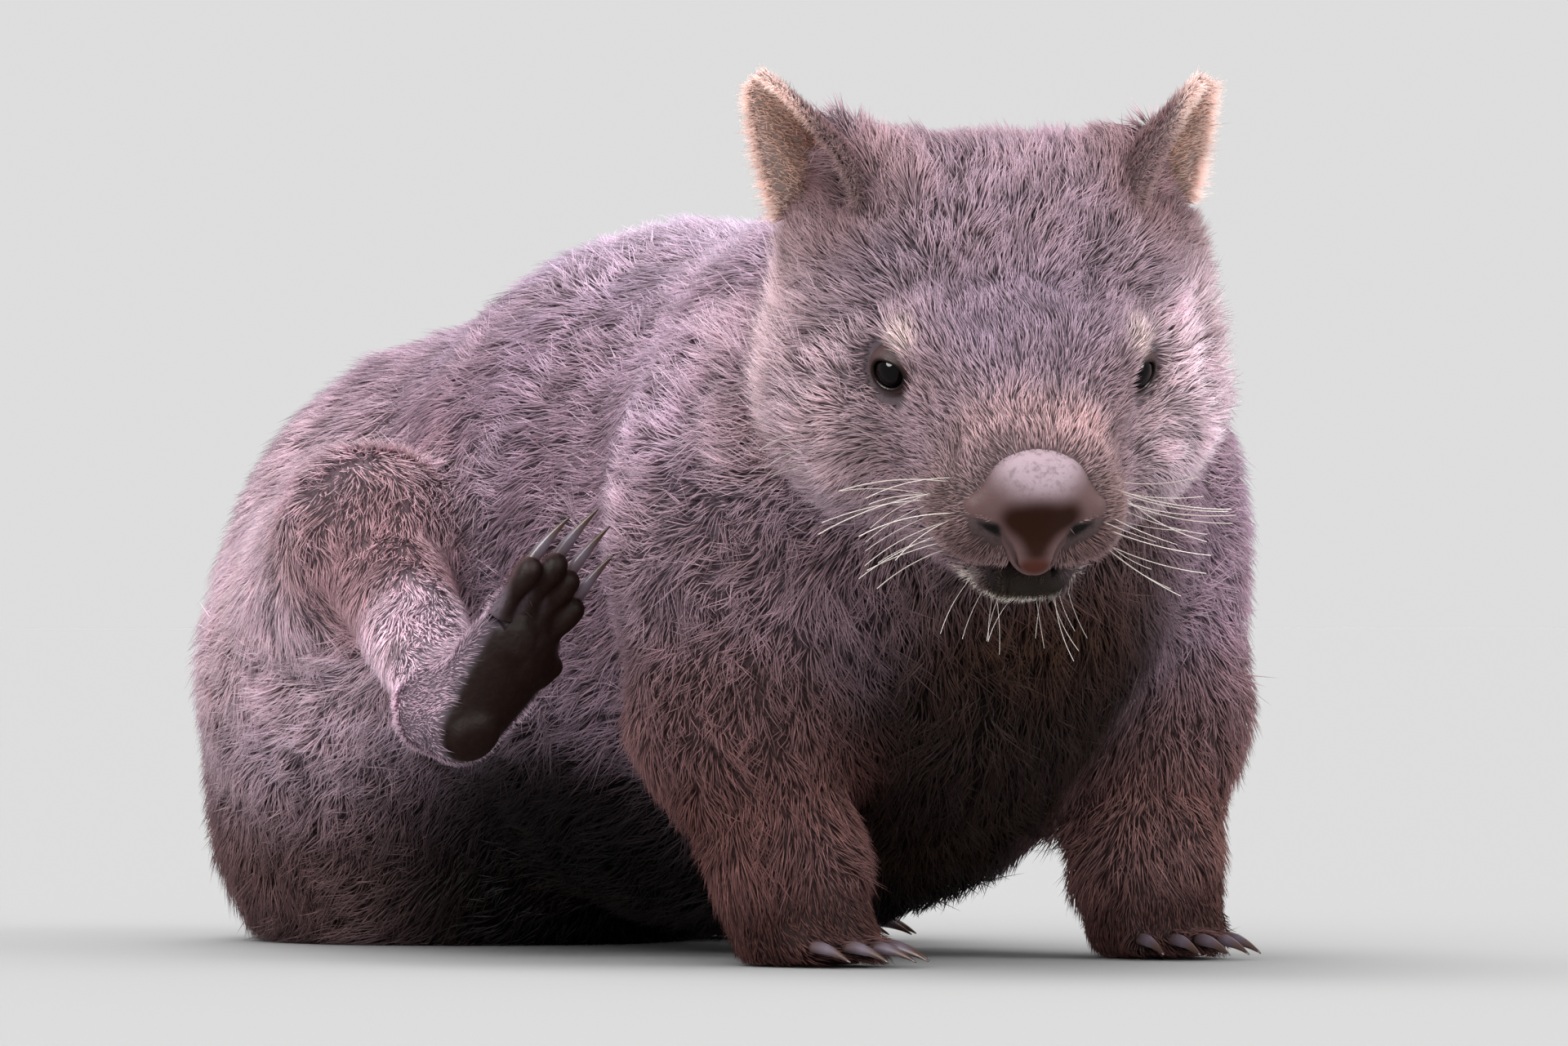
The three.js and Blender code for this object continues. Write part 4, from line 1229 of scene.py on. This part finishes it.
def earPoint(shape, t, u, face, lift=0.0):
    base, tip = np.array(shape["base"], float), np.array(shape["tip"], float)
    reach = np.linalg.norm(tip - base)
    axis = (tip - base) / reach
    across = unit(np.cross(axis, shape["opening"]))
    out = np.cross(across, axis)
    up = np.maximum(t, 0)
    tucked = ear["tuckedIn"] * (1 - np.clip(up / 0.6, 0, 1)) ** 1.5 * (u * shape["inward"] > 0)
    leaf = np.sqrt(np.maximum(1 - up ** 2, 0)) * (1 - ear["taper"] * up)
    halfWidth = ear["width"] / 2 * leaf + 1.5 - ear["drawnIn"]
    thick = (ear["thickness"] * (1 - 0.6 * t) * (1 - 0.5 * u * u) + 0.4 - ear["drawnIn"] * 0.5 + lift) * face
    cup = (ear["cup"] * (1 - up) + 2) * (1 - u * u)
    return (base + axis * (reach * t)[..., None] + across * (halfWidth * u * (1 - tucked))[..., None]
            + out * (thick - cup)[..., None])


def earTint(t, u, inner, inward):
    deep = np.exp(-((t - 0.34) / 0.3) ** 2 - ((u + 0.1) / 0.45) ** 2)[:, None]
    atSides, atTip = np.clip((np.abs(u) - 0.6) / 0.4, 0, 1) ** 1.5, np.clip((t - 0.75) / 0.25, 0, 1)
    rim = (atSides + atTip)[:, None].clip(0, 1)
    hidden = (np.clip((u * inward - 0.5) / 0.3, 0, 1) * np.clip((0.9 - t) / 0.3, 0, 1))[:, None]
    front = linear(ear["inner"]) * (1 - deep) + linear(ear["deep"]) * deep
    behind = np.tile(linear(ear["outer"]), (len(t), 1))
    tint = np.where(inner[:, None], front, behind)
    tint = tint * (1 - rim * 0.8) + linear(ear["rim"]) * rim * 0.8
    return tint * (1 - hidden * 0.85) + behind * hidden * 0.85


# The inner face lies beside the outer one on the map
def earMap(t, u, inner):
    across = 0.02 + 0.46 * (u + 1) / 2 + np.where(inner, 0.5, 0)
    return np.stack([across, 0.02 + 0.96 * (t - ear["foot"]) / 1.17], axis=-1)


def makeEars(rng, material, under):
    for name, shape in ear["shapes"].items():
        t = np.linspace(ear["foot"], 1, ear["steps"])[:, None] + np.zeros(ear["columns"])
        u = np.sin(np.linspace(-pi / 2, pi / 2, ear["columns"])) + np.zeros((ear["steps"], 1))
        rings = np.concatenate([earPoint(shape, t, u, 1), earPoint(shape, t, u, -1)[:, ::-1]], axis=1)
        piece = loft(f"ear_{name}_skin", [through(headFrame, rings)])
        inner = np.concatenate([t * 0 + 1, t * 0], axis=1).ravel() > 0.5
        place = [np.concatenate([v, v[:, ::-1]], axis=1).ravel() for v in (t, u)]
        tint = earTint(*place, inner, shape["inward"])
        addTint(piece.data, tint)
        addAttribute(piece.data, "bare", np.full(len(tint), 0.4))
        dress(piece, under, "face_coat", "ear_" + name)
        count = int(ear["tufts"] * (1))
        t = ear["foot"] * 0.3 + rng.random(count) ** 1.1 * (0.985 - ear["foot"] * 0.3)
        u = rng.uniform(-1, 1, count)
        edge = rng.random(count) < 0.34
        u = np.where(edge, np.sign(u) * (1 - 0.08 * np.abs(u)), u)
        inner = rng.random(count) < 0.5
        face = np.where(inner, 1, -1)
        step = 0.02

        def at(t, u, lift=0.0):
            return earPoint(shape, t, u, face, lift)

        roots = at(t, u)
        alongT = unit(at(np.minimum(t + step, 0.995), u) - at(t - step, u))
        alongU = unit(at(t, np.minimum(u + step, 1)) - at(t, np.maximum(u - step, -1)))
        up = unit(np.cross(alongT, alongU))
        up *= np.sign((up * (at(t, u, 1.0) - roots)).sum(axis=1))[:, None]
        fan = np.sign(u) * (np.abs(u) ** 1.5 * 0.8 + 0.8 * edge)
        flow = unit(alongT + alongU * (fan + rng.normal(0, 0.2, count))[:, None])
        length = (np.where(inner, 9.5, 10.5) + 2.5 * edge) * rng.uniform(0.6, 1.15, count) * (1 - 0.4 * t)
        rise = np.where(edge, 1.0, 2.2) * rng.uniform(0.5, 1.5, count)
        sway = rng.normal(0, 0.16, (count, 3))
        strand = np.clip(rng.normal(0.62, 0.2, count), 0, 1)
        toSculpt = headFrame[:3, :3].T
        dressed = tuftMesh(f"coatEar_{name}", through(headFrame, roots), flow @ toSculpt, up @ toSculpt,
                           length, np.full(count, ear["tuftWidth"]), rise, sway, earMap(t, u, inner),
                           earTint(t, u, inner, shape["inward"]), strand)
        dress(dressed, material, "face_coat")


# Claws: one piece for each foot
claw = {
    "root": 8,  # millimetres inside the toe
    "stations": 16,
    "sides": 14,
    "width": 3.0,
    "height": 2.9,
    "tip": 0.14,
    "full": 0.3,  # share of the length before it narrows
    "curve": 6.5,
    "foreLength": 22,
    "hindLengths": {2: 25, 3: 25, 4: 25, 5: 23},
    # The paler greyish stop partway along is a painted reflection of the sky; the other stops are the horn's
    # own browns
    "along": [(0.0, (92, 70, 66)), (0.45, (118, 104, 118)), (0.75, (92, 66, 56)), (1.0, (64, 42, 34))],
}


def clawRings(footFrame, tip, radius, length, spread):
    t = np.linspace(0, 1, claw["stations"])[:, None]
    turn = np.arange(claw["sides"])[None] * 2 * pi / claw["sides"] + pi / claw["sides"]
    full = 1 - (1 - claw["tip"]) * np.clip((t - claw["full"]) / (1 - claw["full"]), 0, 1) ** 1.15
    along = (claw["root"] + length) * t
    x = tip[0] + spread * along + claw["width"] * full * np.cos(turn) * (1 - 0.25 * np.sin(turn))
    y = tip[1] - radius + claw["root"] - along + 0 * turn
    z = tip[2] + 1.5 - claw["curve"] * t * t + claw["height"] * full * np.sin(turn)
    rings = through(footFrame, np.stack([x, y, z], axis=-1))
    rings[..., 2] = np.maximum(rings[..., 2], tuft["floorGap"])
    return rings


def hornFinish():
    horn = Finish("horn", Specular_IOR_Level=0.2, Coat_Weight=0.1, Coat_Roughness=0.25)
    along = horn.value(horn.attribute("along").outputs["Fac"])
    ridges = horn.noise(500, 2, (1, 1, 6))
    return horn.set(Base_Color=horn.ramp(along, claw["along"]), Roughness=0.34 + 0.1 * ridges,
                    Normal=horn.bump(ridges, 0.15, 0.0004))


def makeClaws(material):
    feet = []
    for leg, (name, _) in zip(foreLegs, sides):
        toes = [(*foreToe(i)[1:], claw["foreLength"] - 1.2 * abs(i - 2), (i - 2) * 0.06) for i in range(5)]
        nodes = [f"fore_claw_{name}_{i + 1}" for i in range(5)]
        feet.append((f"claws_fore_{name}", footOnFloor(leg), toes, nodes))
    for name, side, footFrame in (("right", -1, raisedFoot), ("left", 1, foldedFoot)):
        toes = [(*hindToe(digit, side)[1:], length, 0) for digit, length in claw["hindLengths"].items()]
        nodes = [f"hind_claw_{name}_{digit}" for digit in claw["hindLengths"]]
        feet.append((f"claws_hind_{name}", footFrame, toes, nodes))
    for name, footFrame, toes, nodes in feet:
        piece = loft(name, [clawRings(footFrame, *toe) for toe in toes])
        share = np.tile(np.repeat(np.linspace(0, 1, claw["stations"]), claw["sides"]), len(toes))
        addAttribute(piece.data, "along", share)
        dress(piece, material, "horn", *nodes)


# Whiskers: one curved hair set out by Geometry Nodes at each root, turned along the root's own aim. Radius
# and bend are shares of the hair's length.
whisker = {"radius": 0.0048, "bend": 0.12, "variation": 0.45, "seed": 7}
whiskerRows = [  # side, first and last root in the head's frame, aim of each, count, length in millimetres
    (-1, (-36, -66, -22), (-38, -48, -46), (-1, -0.30, 0.02), (-1, 0.05, -0.42), 9, 58),
    (-1, (-30, -76, -32), (-33, -58, -54), (-1, -0.55, -0.10), (-0.9, -0.1, -0.60), 7, 50),
    (1, (36, -66, -22), (38, -48, -46), (1, -0.30, 0.10), (1, 0.05, -0.32), 9, 58),
    (1, (30, -76, -32), (33, -58, -54), (1, -0.55, 0.02), (0.9, -0.1, -0.5), 7, 50),
    (-1, (-22, -66, -78), (-6, -70, -82), (-0.5, -0.45, -1), (-0.1, -0.5, -1), 6, 36),
    (1, (22, -66, -78), (6, -70, -82), (0.5, -0.45, -1), (0.1, -0.5, -1), 6, 36),
    (-1, (-50, -22, 16), (-60, -12, 15), (-0.5, -0.6, 1), (-0.8, -0.2, 1), 3, 20),
    (1, (50, -22, 16), (60, -12, 15), (0.5, -0.6, 1), (0.8, -0.2, 1), 3, 20),
    (-1, (-92, 10, -40), (-88, 18, -62), (-1, -0.2, -0.3), (-1, -0.1, -0.6), 4, 28),
    (1, (92, 10, -40), (88, 18, -62), (1, -0.2, -0.2), (1, -0.1, -0.5), 4, 28),
]


def whiskerTree(material):
    tree = bpy.data.node_groups.new("whiskers", "GeometryNodeTree")
    tree.is_modifier = True
    for name, kind in (("Geometry", "Geometry"), ("Radius", "Float"), ("Bend", "Float"),
                       ("Variation", "Float"), ("Seed", "Int")):
        tree.interface.new_socket(name, in_out="INPUT", socket_type="NodeSocket" + kind)
    tree.interface.new_socket("Geometry", in_out="OUTPUT", socket_type="NodeSocketGeometry")

    def add(kind, settings=None, **sockets):
        made = tree.nodes.new(kind)
        for name, value in (settings or {}).items():
            setattr(made, name, value)
        for name, value in sockets.items():
            socket = made.inputs[int(name[1:]) if name[1:].isdigit() else name.replace("_", " ")]
            if isinstance(value, bpy.types.NodeSocket):
                tree.links.new(value, socket)
            else:
                socket.default_value = value
        return made

    given = add("NodeGroupInput").outputs
    arch = add("ShaderNodeCombineXYZ", X=given["Bend"], Z=0.5)
    tip = add("ShaderNodeCombineXYZ", X=0.0, Z=1.0)
    hair = add("GeometryNodeCurveQuadraticBezier", Resolution=9, Start=(0, 0, 0), Middle=arch.outputs[0],
               End=tip.outputs[0])
    share = add("GeometryNodeSplineParameter").outputs["Factor"]
    thin = add("ShaderNodeMath", {"operation": "SUBTRACT"}, i0=1.0, i1=share)
    thick = add("ShaderNodeMath", {"operation": "MULTIPLY_ADD"}, i0=thin.outputs[0], i1=0.9, i2=0.1)
    size, aim = [add("GeometryNodeInputNamedAttribute", {"data_type": kind}, Name=name).outputs["Attribute"]
                 for name, kind in (("size", "FLOAT"), ("aim", "FLOAT_VECTOR"))]
    tapered = add("GeometryNodeSetCurveRadius", Curve=hair.outputs[0], Radius=thick.outputs[0])
    ring = add("GeometryNodeCurvePrimitiveCircle", Resolution=5, Radius=given["Radius"])
    tube = add("GeometryNodeCurveToMesh", Curve=tapered.outputs[0], Profile_Curve=ring.outputs[0],
               Fill_Caps=True)
    low = add("ShaderNodeMath", {"operation": "SUBTRACT"}, i0=1.0, i1=given["Variation"])
    chance = add("FunctionNodeRandomValue", {"data_type": "FLOAT"}, i2=low.outputs[0], i3=1.0,
                 Seed=given["Seed"])
    scale = add("ShaderNodeMath", {"operation": "MULTIPLY"}, i0=size, i1=chance.outputs[1])
    turn = add("FunctionNodeAlignRotationToVector", {"axis": "Z"}, Vector=aim)
    placedHairs = add("GeometryNodeInstanceOnPoints", Points=given["Geometry"], Instance=tube.outputs[0],
                      Rotation=turn.outputs[0], Scale=scale.outputs[0])
    real = add("GeometryNodeRealizeInstances", Geometry=placedHairs.outputs[0])
    finished = add("GeometryNodeSetMaterial", Geometry=real.outputs[0], Material=material)
    add("NodeGroupOutput", Geometry=finished.outputs[0])
    return tree


def makeWhiskers(rng):
    hair = Finish("whisker", Base_Color=(*linear((222, 208, 200)), 1), Roughness=0.35)
    roots, aims, lengths = [], [], []
    for side, first, last, aimFirst, aimLast, count, length in whiskerRows:
        t = np.linspace(0, 1, count)[:, None]
        roots.append(np.array(first) * (1 - t) + np.array(last) * t + rng.normal(0, 2.4, (count, 3)))
        aims.append(np.array(aimFirst) * (1 - t) + np.array(aimLast) * t + rng.normal(0, 0.16, (count, 3)))
        lengths.append(np.full(count, float(length)))
    roots = settle(body, through(headFrame, np.concatenate(roots)), lambda p: np.full(len(p), -3.0), 12, 6)
    aims = unit(np.concatenate(aims)) @ headFrame[:3, :3].T
    piece = meshFrom("whiskers", toRow(roots), np.zeros((0, 3), int))
    addAttribute(piece.data, "aim", aims, "FLOAT_VECTOR", "vector")
    addAttribute(piece.data, "size", np.concatenate(lengths) / 1000)
    modifier = piece.modifiers.new("whiskers", "NODES")
    modifier.node_group = whiskerTree(hair.material)
    for item in modifier.node_group.interface.items_tree:
        if item.in_out == "INPUT" and item.name.lower() in whisker:
            modifier[item.identifier] = whisker[item.name.lower()]
    seen = piece.evaluated_get(bpy.context.evaluated_depsgraph_get())
    made = bpy.data.meshes.new_from_object(seen)
    piece.modifiers.remove(modifier)
    piece.data = made
    print("whiskers:", len(made.polygons), "faces")
    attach(piece, "root")


print("coat: tufts")
randomDraws = np.random.default_rng(4)
skinMesh = skinPiece.data
addTint(skinMesh, tintAt(skinPoints))
addAttribute(skinMesh, "bare", maskOf("raisedSole", skinPoints, 5))
furMaterial, skinMaterial = furFinish(), skinFinish()
coatSlots = {
    "coatFace": "face_coat",
    "coatHead": "face_coat",
    "coatRaisedLeg": "leg_coat",
    "coatForelegs": "leg_coat",
}
for coatPiece in makeCoat(randomDraws, skinPoints, skinNormals):
    dress(coatPiece, furMaterial, coatSlots.get(coatPiece.name.split("_")[0], "back_coat"))
skinMesh.vertices.foreach_set("co", toRow(skinPoints).astype(np.float32).ravel())
skinMesh.update()
skinMesh.shade_smooth()
dress(skinPiece, skinMaterial, "back_coat", *skin["flesh"])
print("nose, eyes, ears, claws and whiskers")
makeNose()
makeEyes()
makeEars(randomDraws, furMaterial, skinMaterial)
makeClaws(hornFinish())
makeWhiskers(randomDraws)

# Studio

camera = {
    "azimuth": 35,  # degrees round to the animal's right
    "distance": 4750,
    "aside": -89,
    "height": 160,
    "tilt": 0.58,  # degrees up
    "lens": 230.0,
}
studio = {
    "sky": 0.62,
    "floor": 0.468,  # its light then matches the sky's
    "floorReach": 400,
    "exposure": 0.23,
    "lamps": [  # name, where it shines from, degrees across, strength, seen only as a reflection
        ("skylight", (-0.4, 0.9, 3.2), 60, 1.6, False),
        ("key", (-2.6, -2.0, 2.6), 30, 0.55, False),
        ("fill", (1.6, -2.6, 2.4), 30, 0.55, False),
        ("catchRight", (-0.88, -0.3, 0.5), 40, 14, True),
        ("catchLeft", (0.3, -0.9, 0.5), 40, 14, True),
    ],
}


# The floor takes the same light as the backdrop of sky, so that it runs into it with no edge
def makeStage():
    scene = bpy.context.scene
    reach = studio["floorReach"]
    corners = np.array([(-1, -1, 0), (1, -1, 0), (1, 1, 0), (-1, 1, 0)], float) * reach
    floor = meshFrom("floor", corners, [(0, 1, 2, 3)], smooth=False)
    pale = Finish("floorPale", Base_Color=white(studio["floor"]), Roughness=1.0, Specular_IOR_Level=0.0)
    floor.data.materials.append(pale.material)
    world = bpy.data.worlds.new("studio")
    world.use_nodes = True
    world.node_tree.nodes["Background"].inputs["Color"].default_value = white(1)
    world.node_tree.nodes["Background"].inputs["Strength"].default_value = studio["sky"]
    scene.world = world
    for name, place, spread, strength, onlyReflected in studio["lamps"]:
        light = bpy.data.lights.new(name, "SUN")
        light.angle, light.energy = radians(spread), strength
        lamp = bpy.data.objects.new(name, light)
        lamp.location = place
        lamp.visible_diffuse = not onlyReflected
        lamp.rotation_euler = (-Vector(place)).to_track_quat("-Z", "Y").to_euler()
        scene.collection.objects.link(lamp)
    view = bpy.data.cameras.new("camera")
    view.lens, view.sensor_width, view.clip_end = camera["lens"], 36, 1000
    turn = radians(camera["azimuth"])
    ahead, aside = np.array((sin(turn), cos(turn), 0)), np.array((cos(turn), -sin(turn), 0))
    place = -ahead * camera["distance"] + aside * camera["aside"] + (0, 0, camera["height"])
    eyeOfCamera = bpy.data.objects.new("camera", view)
    eyeOfCamera.location = toRow(place)
    eyeOfCamera.rotation_euler = (radians(90 + camera["tilt"]), 0, -turn)
    scene.collection.objects.link(eyeOfCamera)
    scene.camera = eyeOfCamera
    scene.view_settings.view_transform = "Standard"
    scene.view_settings.exposure = studio["exposure"]


print("stage")
makeStage()
